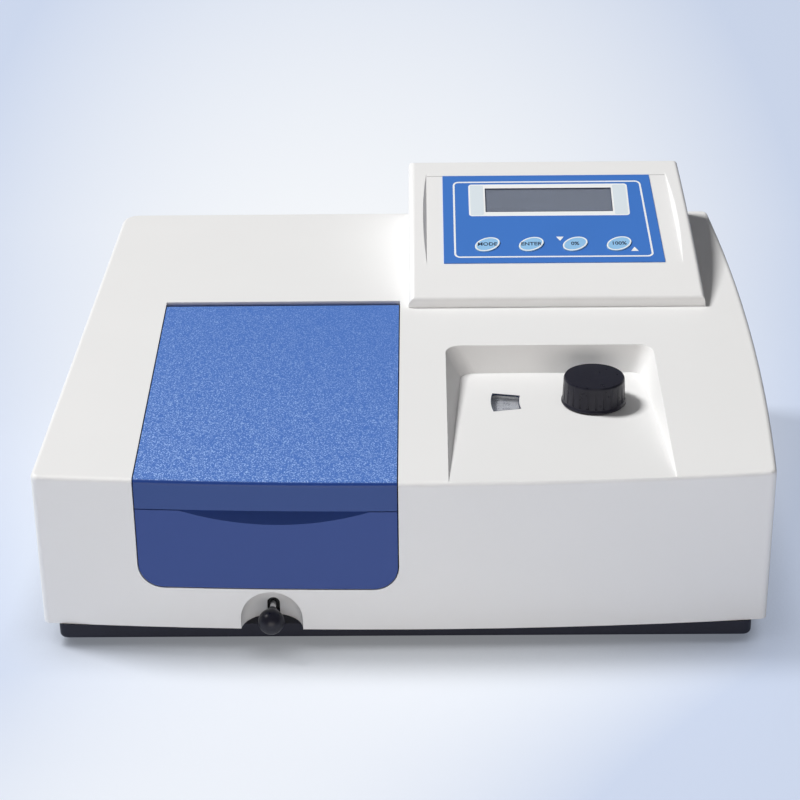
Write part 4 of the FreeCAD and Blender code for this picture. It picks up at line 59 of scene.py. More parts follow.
class Look:
    """A material made of one Principled shader, varied by textures in the part's own space."""

    def __init__(self, name, colour, roughness, metallic=0.0, **fixed):
        self.material = bpy.data.materials.new(name)
        self.material.use_nodes = True
        self.tree = self.material.node_tree
        self.shader = self.tree.nodes["Principled BSDF"]
        self.colour = colour
        self.shader.inputs["Base Color"].default_value = (*colour, 1)
        self.shader.inputs["Roughness"].default_value = roughness
        self.shader.inputs["Metallic"].default_value = metallic
        for socket, value in fixed.items():
            self.shader.inputs[socket.replace("_", " ")].default_value = value
        self.place = self.node("ShaderNodeTexCoord").outputs["Object"]

    def node(self, kind, settings=None, **inputs):
        """A new node with its settings, and values or sockets for its inputs."""
        made = self.tree.nodes.new(kind)
        for name, value in (settings or {}).items():
            setattr(made, name, value)
        for name, value in inputs.items():
            self.feed(made.inputs[name.replace("_", " ")], value)
        return made

    def feed(self, socket, value):
        if isinstance(value, bpy.types.NodeSocket):
            self.tree.links.new(value, socket)
        else:
            socket.default_value = value

    def mapped(self, stretch=(1, 1, 1), shift=(0, 0, 0)):
        """The part's space, moved and stretched."""
        node = self.node("ShaderNodeMapping", {"vector_type": "POINT"})
        self.feed(node.inputs["Vector"], self.place)
        node.inputs["Location"].default_value = shift
        node.inputs["Scale"].default_value = stretch
        return node.outputs["Vector"]

    def noise(self, size, detail=2.0, stretch=(1, 1, 1)):
        """Cloudy noise whose patches are about this size."""
        vector = self.mapped(stretch)
        node = self.node("ShaderNodeTexNoise", Vector=vector, Scale=1 / size, Detail=detail)
        return node.outputs[0]

    def cells(self, size):
        """Rounded cells about this size, 0 in their middle and about 1 at their rim."""
        node = self.node("ShaderNodeTexVoronoi", Vector=self.mapped(), Scale=1 / size)
        return node.outputs["Distance"]

    def bands(self, pitch, direction, kind="BANDS", shift=(0, 0, 0)):
        """Even bands along an axis, or rings about one."""
        settings = {"wave_type": kind, "wave_profile": "SIN"}
        settings["bands_direction" if kind == "BANDS" else "rings_direction"] = direction
        vector = self.mapped(shift=shift)
        node = self.node("ShaderNodeTexWave", settings, Vector=vector, Scale=unit_wave / pitch)
        node.inputs["Distortion"].default_value = 0
        return node.outputs["Fac"]

    def upward(self, start, end):
        """Rises from 0 to 1 as a face turns from upright to looking up."""
        facing = self.node("ShaderNodeTexCoord").outputs["Normal"]
        height = self.node("ShaderNodeSeparateXYZ", Vector=facing).outputs["Z"]
        return self.span(height, 0, 1, start, end)

    def math(self, operation, first, second=0.0):
        node = self.node("ShaderNodeMath", {"operation": operation})
        self.feed(node.inputs[0], first)
        self.feed(node.inputs[1], second)
        return node.outputs[0]

    def span(self, source, low, high, start=0.0, end=1.0):
        """Runs from low to high as the source goes from start to end, and no further."""
        node = self.node("ShaderNodeMapRange", Value=source, To_Min=low, To_Max=high)
        node.inputs["From Min"].default_value = start
        node.inputs["From Max"].default_value = end
        return node.outputs["Result"]

    def blend(self, factor, first, second):
        """A colour between two, each a triple or a socket."""
        node = self.node("ShaderNodeMix", {"data_type": "RGBA"})
        self.feed(node.inputs[0], factor)
        for socket, value in ((node.inputs[6], first), (node.inputs[7], second)):
            self.feed(socket, value if isinstance(value, bpy.types.NodeSocket) else (*value, 1))
        return node.outputs[2]

    def shades(self, source, darker, lighter):
        """Paints the base colour darker and lighter by these shares."""
        dark = [c * (1 - darker) for c in self.colour]
        light = [min(1, c * (1 + lighter)) for c in self.colour]
        self.feed(self.shader.inputs["Base Color"], self.blend(source, dark, light))

    def rough(self, source, low, high):
        """Varies the roughness between two values."""
        self.feed(self.shader.inputs["Roughness"], self.span(source, low, high))

    def bump(self, source, depth):
        """Adds relief, over any relief there is."""
        socket = self.shader.inputs["Normal"]
        under = socket.links[0].from_socket if socket.links else None
        node = self.node("ShaderNodeBump", Height=source, Distance=depth, Strength=1.0)
        if under:
            self.feed(node.inputs["Normal"], under)
        self.feed(socket, node.outputs["Normal"])


def moulded(name, colour, grain, depth, roughness=0.5, **fixed):
    """Moulded plastic with a fine spark-eroded grain and faint clouding."""
    look = Look(name, colour, roughness, **fixed)
    fine = look.noise(grain, 3.0)
    look.shades(look.noise(0.05, 2.0), 0.012, 0.012)
    look.rough(fine, roughness - 0.08, roughness + 0.08)
    look.bump(fine, depth)
    return look.material


def grained_blue(name, colour, edge_shade_colour, front_colour, grain, depth):
    """Blue plastic, smooth on its front and grained on top, with painted light: a lighter blue and painted glints
    on the top, strongest near its front left, and a painted shade on the rounded edge between top and front.
    """
    # colour of the painted glints, and their strength from the front left (nearest) to the back right (farthest)
    painted_glint_colour, faintest, nearest, farthest = (0.42, 0.60, 0.98), 0.2, -0.26, 0.09
    pebble, pebble_share, peak_low, peak_high = 1.1 * grain, 0.35, 0.34, 0.47
    look = Look(name, colour, 0.45, Specular_IOR_Level=0.4)
    dust = look.noise(grain, 3.0)
    pebbles = look.math("MULTIPLY", look.cells(pebble), pebble_share)
    relief = look.math("SUBTRACT", dust, pebbles)
    split = look.node("ShaderNodeSeparateXYZ", Vector=look.place)
    x, y = split.outputs["X"], split.outputs["Y"]
    away = look.math("ADD", look.math("MULTIPLY", x, 0.6), y)
    # painted highlight: the glints fade from the front left towards the back right
    glint_falloff = look.span(away, 1, faintest, nearest, farthest)
    painted_glint_spots = look.math("MULTIPLY", look.span(relief, 0, 1, peak_low, peak_high), glint_falloff)
    top = look.blend(painted_glint_spots, colour, painted_glint_colour)
    # painted light: upward faces get the lighter blue with its glints, faces between upright and up get a dark
    # navy painted shade, upright faces keep the front's own blue
    up = look.upward(0.8, 0.97)
    sides = look.blend(look.upward(0.15, 0.45), front_colour, edge_shade_colour)
    look.feed(look.shader.inputs["Base Color"], look.blend(up, sides, top))
    look.rough(dust, 0.34, 0.52)
    look.bump(look.math("MULTIPLY", relief, look.span(up, 0.05, 1)), depth)
    return look.material


def metal(name, colour, roughness, streak=(1, 1, 1), grain=0.4 * mm, depth=0.01 * mm):
    """Bare metal with tooling or blasting marks and slight clouding."""
    look = Look(name, colour, roughness, 1.0)
    marks = look.noise(grain, 4.0, streak)
    look.shades(look.noise(0.02, 3.0), 0.06, 0.04)
    look.rough(marks, max(0.03, roughness - 0.1), roughness + 0.1)
    look.bump(marks, depth)
    return look.material


def painted(name, colour, roughness=0.45, grain=0.8 * mm, depth=0.03 * mm, metallic=0.0, **fixed):
    """Powder coat: a low orange peel with a little dust in it."""
    look = Look(name, colour, roughness, metallic, **fixed)
    peel = look.noise(grain, 2.0)
    look.shades(look.noise(0.03, 4.0), 0.10, 0.10)
    look.rough(peel, roughness - 0.06, roughness + 0.1)
    look.bump(peel, depth)
    return look.material


def pane(name, colour, alpha, roughness=0.03):
    """A clear polished pane, which lets the light through to what lies under it."""
    look = Look(name, colour, roughness, Transmission_Weight=1.0, IOR=1.46, Alpha=alpha)
    look.bump(look.noise(8 * mm, 1.0), 0.01 * mm)
    look.rough(look.noise(3 * mm, 3.0), roughness, roughness + 0.05)
    return look.material


def turned_face(name, colour, axis, roughness):
    """Satin white metal turned about an upright axis, with fine rings."""
    look = Look(name, colour, roughness, 0.35)
    rings = look.bands(0.35 * mm, "Z", "RINGS", shift=(-axis[0], -axis[1], 0))
    look.shades(look.noise(0.012, 2.0), 0.05, 0.05)
    look.rough(rings, roughness - 0.06, roughness + 0.06)
    look.bump(rings, 0.006 * mm)
    return look.material


def laminated(name, colour):
    """Varnished iron laminations with a pressed steel sheen."""
    look = Look(name, colour, 0.4, 0.3)
    sheets = look.bands(0.9 * mm, "X")
    look.shades(sheets, 0.35, 0.15)
    look.bump(sheets, 0.08 * mm)
    return look.material


def circuit(name, colour):
    """Green lacquer over a faint net of copper tracks."""
    look = Look(name, colour, 0.35)
    settings = {"voronoi_dimensions": "3D", "distance": "MANHATTAN", "feature": "F1"}
    tracks = look.node("ShaderNodeTexVoronoi", settings, Vector=look.mapped(), Scale=1 / (4 * mm))
    look.shades(look.span(tracks.outputs["Distance"], 0, 1, 0.45, 0.5), 0.0, 0.35)
    look.rough(look.noise(1.5 * mm), 0.28, 0.42)
    look.bump(tracks.outputs["Distance"], 0.02 * mm)
    return look.material


def ruled(name, colour):
    """A ruled mirror, which splits the light it throws back."""
    look = Look(name, colour, 0.12, 1.0)
    lines = look.bands(0.05 * mm, "X")
    # painted reflection: darker and lighter bands 9 mm apart stand in for the light the ruling splits
    look.shades(look.bands(9 * mm, "Z"), 0.3, 0.1)
    look.bump(lines, 0.003 * mm)
    return look.material


def printed(name, colour, roughness=0.5):
    """Screen-printed ink with a slightly uneven film."""
    look = Look(name, colour, roughness)
    film = look.noise(0.3 * mm, 2.0)
    look.shades(film, 0.03, 0.03)
    look.rough(film, roughness - 0.1, roughness + 0.1)
    look.bump(film, 0.004 * mm)
    return look.material


def film(name, colour, roughness=0.36):
    """Printed polyester film with a fine satin texture."""
    look = Look(name, colour, roughness, Coat_Weight=0.25, Coat_Roughness=0.25)
    texture = look.noise(0.25 * mm, 2.0)
    look.shades(look.noise(0.04, 2.0), 0.03, 0.03)
    look.rough(texture, roughness - 0.06, roughness + 0.08)
    look.bump(texture, 0.008 * mm)
    return look.material


def rubbery(name, colour):
    """Dull dusty rubber."""
    look = Look(name, colour, 0.75)
    dust = look.noise(0.6 * mm, 5.0)
    look.shades(dust, 0.2, 0.5)
    look.rough(dust, 0.65, 0.85)
    look.bump(dust, 0.04 * mm)
    return look.material


def glossy_knob(name, colour):
    """Dark moulded plastic, polished by fingers in patches, dull and a little paler between them."""
    look = Look(name, colour, 0.3, Specular_IOR_Level=0.3)
    smears = look.noise(5 * mm, 4.0)
    grain = look.noise(0.35 * mm, 2.0)
    look.shades(smears, 0.1, 0.5)
    look.rough(smears, 0.16, 0.5)
    look.bump(grain, 0.012 * mm)
    return look.material


knob_axis = joints["knob_turn"]["pos_m"]
finishes = {
    "cover_white": moulded("cover_white", (0.86, 0.86, 0.862), 0.7 * mm, 0.03 * mm, 0.5),
    "housing_white": moulded("housing_white", (0.88, 0.88, 0.882), 0.6 * mm, 0.025 * mm, 0.48),
    "lid_blue": grained_blue(
        "lid_blue",
        # lighter top blue as painted light, dark navy painted shade for the rounded front edge, and the front's
        # own blue
        (0.072, 0.185, 0.57),
        (0.008, 0.045, 0.24),
        (0.030, 0.074, 0.27),
        0.95 * mm,
        0.09 * mm,
    ),
    "panel_blue": moulded(
        "panel_blue", (0.037, 0.078, 0.29), 0.9 * mm, 0.02 * mm, 0.48, Specular_IOR_Level=0.35
    ),
    "base_black": painted(
        "base_black", (0.012, 0.013, 0.025), 0.55, 1.2 * mm, 0.06 * mm, Specular_IOR_Level=0.3
    ),
    "case_aluminium": metal(
        "case_aluminium", (0.58, 0.58, 0.59), 0.5, grain=0.8 * mm, depth=0.05 * mm
    ),
    "chamber_black": painted(
        "chamber_black", (0.022, 0.022, 0.023), 0.5, 0.5 * mm, 0.02 * mm, metallic=0.4
    ),
    "sheet_black": painted("sheet_black", (0.04, 0.04, 0.045)),
    "sheet_grey": painted("sheet_grey", (0.48, 0.48, 0.50)),
    "steel": metal("steel", (0.55, 0.55, 0.56), 0.3, (1, 1, 12)),
    "rod_steel": metal("rod_steel", (0.72, 0.72, 0.73), 0.14, (20, 1, 20), depth=0.003 * mm),
    "brass": metal("brass", (0.72, 0.53, 0.24), 0.3, (1, 1, 10)),
    "rubber": rubbery("rubber", (0.03, 0.03, 0.031)),
    "knob_black": glossy_knob("knob_black", (0.013, 0.013, 0.021)),
    "plastic_black": moulded("plastic_black", (0.030, 0.030, 0.032), 0.5 * mm, 0.02 * mm, 0.42),
    "quartz": pane("quartz", (0.93, 0.95, 1.0), 0.4),
    "clear_pane": pane("clear_pane", (0.93, 0.95, 0.97), 0.3),
    "mirror": metal("mirror", (0.88, 0.88, 0.90), 0.04, depth=0.001 * mm),
    "grating": ruled("grating", (0.75, 0.78, 0.85)),
    "dial_face": turned_face("dial_face", (0.66, 0.66, 0.69), knob_axis, 0.35),
    "overlay_blue": film("overlay_blue", (0.055, 0.200, 0.63)),
    "key_blue": film("key_blue", (0.31, 0.59, 0.90), 0.4),
    "display_grey": film("display_grey", (0.225, 0.25, 0.31), 0.25),
    "circuit_green": circuit("circuit_green", (0.02, 0.14, 0.06)),
    "core_steel": laminated("core_steel", (0.12, 0.09, 0.07)),
    "lamp_glass": pane("lamp_glass", (0.95, 0.94, 0.92), 0.5),
    "white_ink": printed("white_ink", (0.93, 0.95, 0.96)),
    "pale_ink": printed("pale_ink", (0.74, 0.82, 0.88)),
    # printed black, also used for the painted shade at the display and in the dial window
    "dark_ink_and_shade": printed("dark_ink_and_shade", (0.02, 0.03, 0.07)),
    # painted shadow of the step at the sunk panel's upper edge
    "step_shadow_grey": printed("step_shadow_grey", (0.28, 0.26, 0.27)),
}


def finish_frame():
    """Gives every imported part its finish; the pull rod's bush is blackened."""
    looks = {**slots, "rod_bush": "plastic_black"}
    for name, part in nodes.items():
        part.data.materials.clear()
        part.data.materials.append(finishes[looks[name]])


# Pieces of scene.py's own

def make_piece(name, mesh, look, body, placing=None):
    """A piece that rides on a body, with its finish."""
    mesh.materials.clear()
    mesh.materials.append(finishes[look])
    piece = bpy.data.objects.new(name, mesh)
    bpy.context.scene.collection.objects.link(piece)
    if placing:
        mesh.transform(placing)
    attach(piece, body)
    return piece


def ellipse(width, length, count=64, turn=0.0):
    """Points of an oval, counter-clockwise, its long axis turned."""
    cosine, sine = math.cos(turn), math.sin(turn)
    points = []
    for i in range(count):
        angle = 2 * math.pi * i / count
        x, y = width / 2 * math.cos(angle), length / 2 * math.sin(angle)
        points.append((x * cosine - y * sine, x * sine + y * cosine))
    return points


def rounded_box(left, bottom, right, top, radius, steps=8):
    """Points of a box with rounded corners, counter-clockwise."""
    middles = [
        (right - radius, top - radius),
        (left + radius, top - radius),
        (left + radius, bottom + radius),
        (right - radius, bottom + radius),
    ]
    points = []
    for quarter, (x, y) in enumerate(middles):
        for step in range(steps + 1):
            angle = math.pi / 2 * (quarter + step / steps)
            points.append((x + radius * math.cos(angle), y + radius * math.sin(angle)))
    return points


def lean_in(points, left, right, bottom):
    """Leans the right side of an outline as the overlay's right edge leans."""
    leaning = []
    for x, y in points:
        share = (x - left) / (right - left)
        leaning.append((x - share * (y - bottom) * overlay_lean, y))
    return leaning


def thicken(mesh_maker, height):
    """Turns the flat faces of a bmesh into a solid of this height."""
    made = bmesh.ops.extrude_face_region(mesh_maker, geom=mesh_maker.faces[:])
    moved = [g for g in made["geom"] if isinstance(g, bmesh.types.BMVert)]
    bmesh.ops.translate(mesh_maker, verts=moved, vec=(0, 0, height))
    bmesh.ops.recalc_face_normals(mesh_maker, faces=mesh_maker.faces[:])


def flat_mesh(name, outers, inners=(), height=ink):
    """A thin solid of filled loops, or of rings where each outer loop has an inner one."""
    maker = bmesh.new()
    for index, outer in enumerate(outers):
        outer_points = [maker.verts.new((x, y, 0)) for x, y in outer]
        if not inners:
            maker.faces.new(outer_points)
            continue
        inner_points = [maker.verts.new((x, y, 0)) for x, y in inners[index]]
        count = len(outer_points)
        for i in range(count):
            j = (i + 1) % count
            maker.faces.new((outer_points[i], outer_points[j], inner_points[j], inner_points[i]))
    thicken(maker, height)
    mesh = bpy.data.meshes.new(name)
    maker.to_mesh(mesh)
    maker.free()
    return mesh


def text_mesh(name, text, height, depth=ink, boldness=0.0):
    """Text as a thin solid, its middle at the origin."""
    curve = bpy.data.curves.new(name, "FONT")
    curve.body = text
    curve.offset = boldness
    curve.size = height / 0.7
    curve.align_x = "CENTER"
    curve.align_y = "CENTER"
    curve.extrude = depth / 2
    curve.resolution_u = 3
    writing = bpy.data.objects.new(name + "_text", curve)
    bpy.context.scene.collection.objects.link(writing)
    bpy.context.view_layer.update()
    mesh = bpy.data.meshes.new_from_object(writing)
    bpy.data.objects.remove(writing)
    mesh.transform(Matrix.Translation((0, 0, depth / 2)))
    return mesh


# The display panel

def panel_frame():
    """Matrix of the overlay's top: across, up the slope and out of it."""
    out = -Vector(joints["press_one"]["axis"])
    up = Vector((1, 0, 0)).cross(out) * -1
    low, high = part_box("keypad_overlay")
    depth, height = high.y - low.y, high.z - low.z
    sine, cosine = up.z, up.y
    thickness = (height * cosine - depth * sine) / (cosine**2 - sine**2)
    middle = (low + high) / 2 + out * thickness / 2
    return Matrix.Translation(middle) @ Matrix((
        (1, up.x, out.x, 0),
        (0, up.y, out.y, 0),
        (0, up.z, out.z, 0),
        (0, 0, 0, 1),
    ))


finish_frame()
panel = panel_frame()
overlay_lean = 0.043  # inward slope of the overlay's right edge


def on_panel(across, up, out):
    """Matrix of a place in the panel's frame."""
    return panel @ Matrix.Translation((across, up, out))


def local_box(node):
    """Lowest and highest corners of a part in the panel's frame."""
    inverse = panel.inverted()
    corners = [inverse @ v.co for v in nodes[node].data.vertices]
    low = [min(c[i] for c in corners) for i in range(3)]
    high = [max(c[i] for c in corners) for i in range(3)]
    return Vector(low), Vector(high)


top_out = local_box("keypad_overlay")[1].z


def print_outline():
    """The thin white line round the keys and the display."""
    left, right, bottom, top = -73.5 * mm, 73.6 * mm, -44.6 * mm, 43.2 * mm
    line, radius = 1.4 * mm, 4.5 * mm
    outer = rounded_box(left, bottom, right, top, radius)
    inner = rounded_box(left + line, bottom + line, right - line, top - line, radius - line)
    outer, inner = (lean_in(loop, left, right, bottom) for loop in (outer, inner))
    mesh = flat_mesh("panel_outline", [outer], [inner])
    make_piece("panel_outline", mesh, "white_ink", "chassis", on_panel(0, 0, top_out))


def print_display_frame():
    """The white field round the display, paler blue beside it, and a painted shadow along the display's edges,
    widest along its top, where the bezel shades it.
    """
    low, high = local_box("display_window")
    side, end = 12.5 * mm, 4.7 * mm
    radius, sharp, line = 2.6 * mm, 0.3 * mm, 1.3 * mm
    # widths of the painted shadow along the display's sides and bottom, and along its top
    edge, upper_shadow = 0.5 * mm, 0.8 * mm
    left, right, bottom, top = low.x - side, high.x + side, low.y - end, high.y + end
    outer = rounded_box(left, bottom, right, top, radius)
    inner = rounded_box(low.x, low.y, high.x, high.y, sharp)
    rim = rounded_box(low.x + edge, low.y + edge, high.x - edge, high.y - upper_shadow, sharp)
    field = flat_mesh("display_frame", [outer], [inner])
    make_piece("display_frame", field, "white_ink", "chassis", on_panel(0, 0, top_out))
    # painted shadow: a dark ring just inside the display window
    dark = flat_mesh("display_shadow", [inner], [rim])
    make_piece("display_shadow", dark, "dark_ink_and_shade", "chassis", on_panel(0, 0, top_out))
    for name, start, end_x in (("left", left, low.x), ("right", high.x, right)):
        patch = rounded_box(start + line, bottom + line, end_x - line, top - line, line)
        mesh = flat_mesh("display_side_" + name, [patch])
        above = on_panel(0, 0, top_out + ink)
        make_piece("display_side_" + name, mesh, "pale_ink", "chassis", above)


def draw_panel_seam():
    """A painted shadow: a thin grey line along the upper edge of the sunk panel, where the step there casts its
    shade.
    """
    left, right, bottom, top = -93.2 * mm, 89.2 * mm, 50.5 * mm, 50.85 * mm
    corners = [(left, bottom), (right, bottom), (right, top), (left, top)]
    step_shadow = flat_mesh("panel_step_shadow", [corners])
    floor_out = local_box("keypad_overlay")[0].z
    make_piece("panel_step_shadow", step_shadow, "step_shadow_grey", "chassis", on_panel(0, 0, floor_out))


def print_keys():
    """White rings and plain words of the four keys."""
    long_axis, short_axis, turn = 20 * mm, 14 * mm, math.radians(30)
    line, edge, tall, boldness = 1.2 * mm, 0.2 * mm, 3.6 * mm, 0.1 * mm
    words = ["MODE", "ENTER", "0%", "100%"]
    bodies = ["key_one", "key_two", "key_three", "key_four"]
    for number, (word, body) in enumerate(zip(words, bodies), start=1):
        low, high = local_box("key_%d" % number)
        middle = (low + high) / 2
        outer = ellipse(long_axis - 2 * edge, short_axis - 2 * edge, turn=turn)
        inner = ellipse(long_axis - 2 * line, short_axis - 2 * line, turn=turn)
        place = on_panel(middle.x, middle.y, high.z)
        ring = flat_mesh("key_ring_%d" % number, [outer], [inner])
        make_piece("key_ring_%d" % number, ring, "white_ink", body, place)
        letters = text_mesh("key_word_%d" % number, word, tall, boldness=boldness)
        make_piece("key_word_%d" % number, letters, "dark_ink_and_shade", body, place)


def print_arrows():
    """The white down and up arrows beside the last two keys."""
    half, tall = 2.8 * mm, 4.6 * mm
    arrows = {"arrow_down": (5.3 * mm, -24.0 * mm, -1), "arrow_up": (59.9 * mm, -36.0 * mm, 1)}
    for name, (across, up, way) in arrows.items():
        foot = -tall / 2 * way
        points = [(-half * way, foot), (half * way, foot), (0, -foot)]
        mesh = flat_mesh(name, [points])
        make_piece(name, mesh, "white_ink", "chassis", on_panel(across, up, top_out))


draw_panel_seam()
print_outline()
print_display_frame()
print_keys()
print_arrows()


# The wavelength dial

def print_dial():
    """Ticks each 2 nm and numerals each 20 nm, read at the window left of the knob."""
    axis = Vector(knob_axis)
    low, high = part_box("wavelength_dial")
    rim = (high.x - low.x) / 2
    first, last, middle, per_nm = 200, 1000, 600, math.radians(0.375)
    step, long_step, named_step = 2, 10, 20
    outer, short, long = rim - 3.6 * mm, 2.2 * mm, 4.0 * mm
    half_line, tall, below = 0.09 * mm, 2.5 * mm, 4.6 * mm
    loops = []
    for value in range(first, last + 1, step):
        angle = math.pi + (value - middle) * per_nm
        length = long if value % long_step == 0 else short
        along = Vector((math.cos(angle), math.sin(angle)))
        across = Vector((-along.y, along.x)) * half_line
        glint_falloff, far = along * (outer - length), along * outer
        corners = (glint_falloff - across, far - across, far + across, glint_falloff + across)
        loops.append([tuple(corner) for corner in corners])
    top = Matrix.Translation((axis.x, axis.y, high.z))
    make_piece("dial_ticks", flat_mesh("dial_ticks", loops), "dark_ink_and_shade", "dial", top)
    reach = outer - long - below
    maker = bmesh.new()
    for value in range(first, last + 1, named_step):
        turn = (value - middle) * per_nm
        letters = text_mesh("dial_number", str(value), tall)
        letters.transform(Matrix.Rotation(turn, 4, "Z") @ Matrix.Translation((-reach, 0, 0)))
        maker.from_mesh(letters)
        bpy.data.meshes.remove(letters)
    numbers = bpy.data.meshes.new("dial_numbers")
    maker.to_mesh(numbers)
    maker.free()
    make_piece("dial_numbers", numbers, "dark_ink_and_shade", "dial", top)


print_dial()


# Painted shade: dark edges of the dial window and of the lid's opening

def dense(points, count=6):
    """The same loop with each side divided into this many."""
    closed = points[1:] + points[:1]
    divided = []
    for (x0, y0), (x1, y1) in zip(points, closed):
        divided += [(x0 + (x1 - x0) * i / count, y0 + (y1 - y0) * i / count) for i in range(count)]
    return divided


def line_window():
    """A black ring inside the sector-shaped window beside the knob, rounded at its corners: painted shade along
    the window's edges.
    """
    axis = Vector(knob_axis)
    inner, outer, half_angle = 51.0 * mm, 70.5 * mm, math.radians(11.75)
    middle = (inner + outer) / 2
    pane_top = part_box("dial_window")[1].z
    height, wall, play = 1.15 * mm, 0.55 * mm, 0.02 * mm
    outside_radius, inside_radius = 0.1 * mm, 2.4 * mm
    loops = []
    for inset, radius in ((play, outside_radius), (wall, inside_radius)):
        half = half_angle * middle - inset
        box = rounded_box(inner + inset, -half, outer - inset, half, radius)
        turned = [(reach, math.pi + along / middle) for reach, along in dense(box)]
        loops.append([(reach * math.cos(a), reach * math.sin(a)) for reach, a in turned])
    # painted shade: a black ring on the pane along the window's walls
    shade_ring = flat_mesh("window_shade_ring", [loops[0]], [loops[1]], height)
    place = Matrix.Translation((axis.x, axis.y, pane_top))
    make_piece("window_shade_ring", shade_ring, "dark_ink_and_shade", "chassis", place)


def line_lid_gap():
    """Black strips on the cover's walls beside the lid: painted shade that darkens the gaps there."""
    lid_low, lid_high = -176.3 * mm, -7.0 * mm
    gap, thickness, below, deep = 0.8 * mm, 0.25 * mm, 0.35 * mm, 2.4 * mm
    front, back = -168 * mm, 50 * mm
    level, slope = 146.8386 * mm, 0.11402  # the cover's top: height at y = 0 and rise
    inward = gap - thickness / 2
    # painted shade in the gaps beside the lid
    for name, wall in (("left", lid_low - inward), ("right", lid_high + inward)):
        maker = bmesh.new()
        corners = []
        for y in (front, back):
            top = level + slope * y - below
            one, other = wall - thickness / 2, wall + thickness / 2
            corners += [(one, y, top), (other, y, top)]
            corners += [(other, y, top - deep), (one, y, top - deep)]
        verts = [maker.verts.new(c) for c in corners]
        for i in range(4):
            j = (i + 1) % 4
            maker.faces.new((verts[i], verts[j], verts[4 + j], verts[4 + i]))
        maker.faces.new(verts[3::-1])
        maker.faces.new(verts[4:])
        mesh = bpy.data.meshes.new("gap_shade_strip_" + name)
        maker.to_mesh(mesh)
        maker.free()
        make_piece("gap_shade_strip_" + name, mesh, "rubber", "chassis")


line_window()
line_lid_gap()


# Rear panel

def mark_rocker():
    """I and O on the rocker's hollow face."""
    low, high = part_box("power_rocker")
    middle_x, middle_z = (low.x + high.x) / 2, (low.z + high.z) / 2
    hollow, reach, sunk = 11.6 * mm, 4.4 * mm, 2.5 * mm
    tall, thick, boldness = 3.2 * mm, 0.3 * mm, 0.05 * mm
    lean = math.asin(reach / hollow)
    face = high.y - sunk
    for name, mark, side in (("rocker_on", "I", -1), ("rocker_off", "O", 1)):
        letters = text_mesh(name, mark, tall, thick, boldness)
        letters.transform(Matrix.Rotation(math.pi, 4, "Z") @ Matrix.Rotation(math.pi / 2, 4, "X"))
        letters.transform(Matrix.Rotation(-side * lean, 4, "X"))
        place = Vector((middle_x, face + hollow * (1 - math.cos(lean)), middle_z + side * reach))
        make_piece(name, letters, "white_ink", "rocker", Matrix.Translation(place))


def drive_panel_screws():
    """Pan-headed screws with a sunk middle, which hold the rear panel."""
    low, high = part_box("rear_panel")
    radius, head, inset, sides = 3.2 * mm, 1.5 * mm, 7 * mm, 32
    columns = (low.x + inset, (low.x + high.x) / 2, high.x - inset)
    spots = [(x, z) for x in columns for z in (low.z + inset, high.z - inset)]
    for number, (x, z) in enumerate(spots, start=1):
        maker = bmesh.new()
        rings = ((radius, 0), (radius, 0.5 * head), (0.75 * radius, head), (0.3 * radius, head))
        loops = []
        for size, out in rings:
            circle = ellipse(2 * size, 2 * size, sides)
            loops.append([maker.verts.new((px, out, pz)) for px, pz in circle])
        for lower, upper in zip(loops, loops[1:]):
            for i in range(sides):
                j = (i + 1) % sides
                maker.faces.new((lower[i], lower[j], upper[j], upper[i]))
        deep = maker.verts.new((0, 0.2 * head, 0))
        for i in range(sides):
            maker.faces.new((loops[-1][i], loops[-1][(i + 1) % sides], deep))
        maker.faces.new(loops[0])
        bmesh.ops.recalc_face_normals(maker, faces=maker.faces[:])
        mesh = bpy.data.meshes.new("panel_screw_%d" % number)
        maker.to_mesh(mesh)
        maker.free()
        place = Matrix.Translation((x, high.y, z))
        make_piece("panel_screw_%d" % number, mesh, "steel", "chassis", place)


mark_rocker()
drive_panel_screws()


# Floor, lights and camera

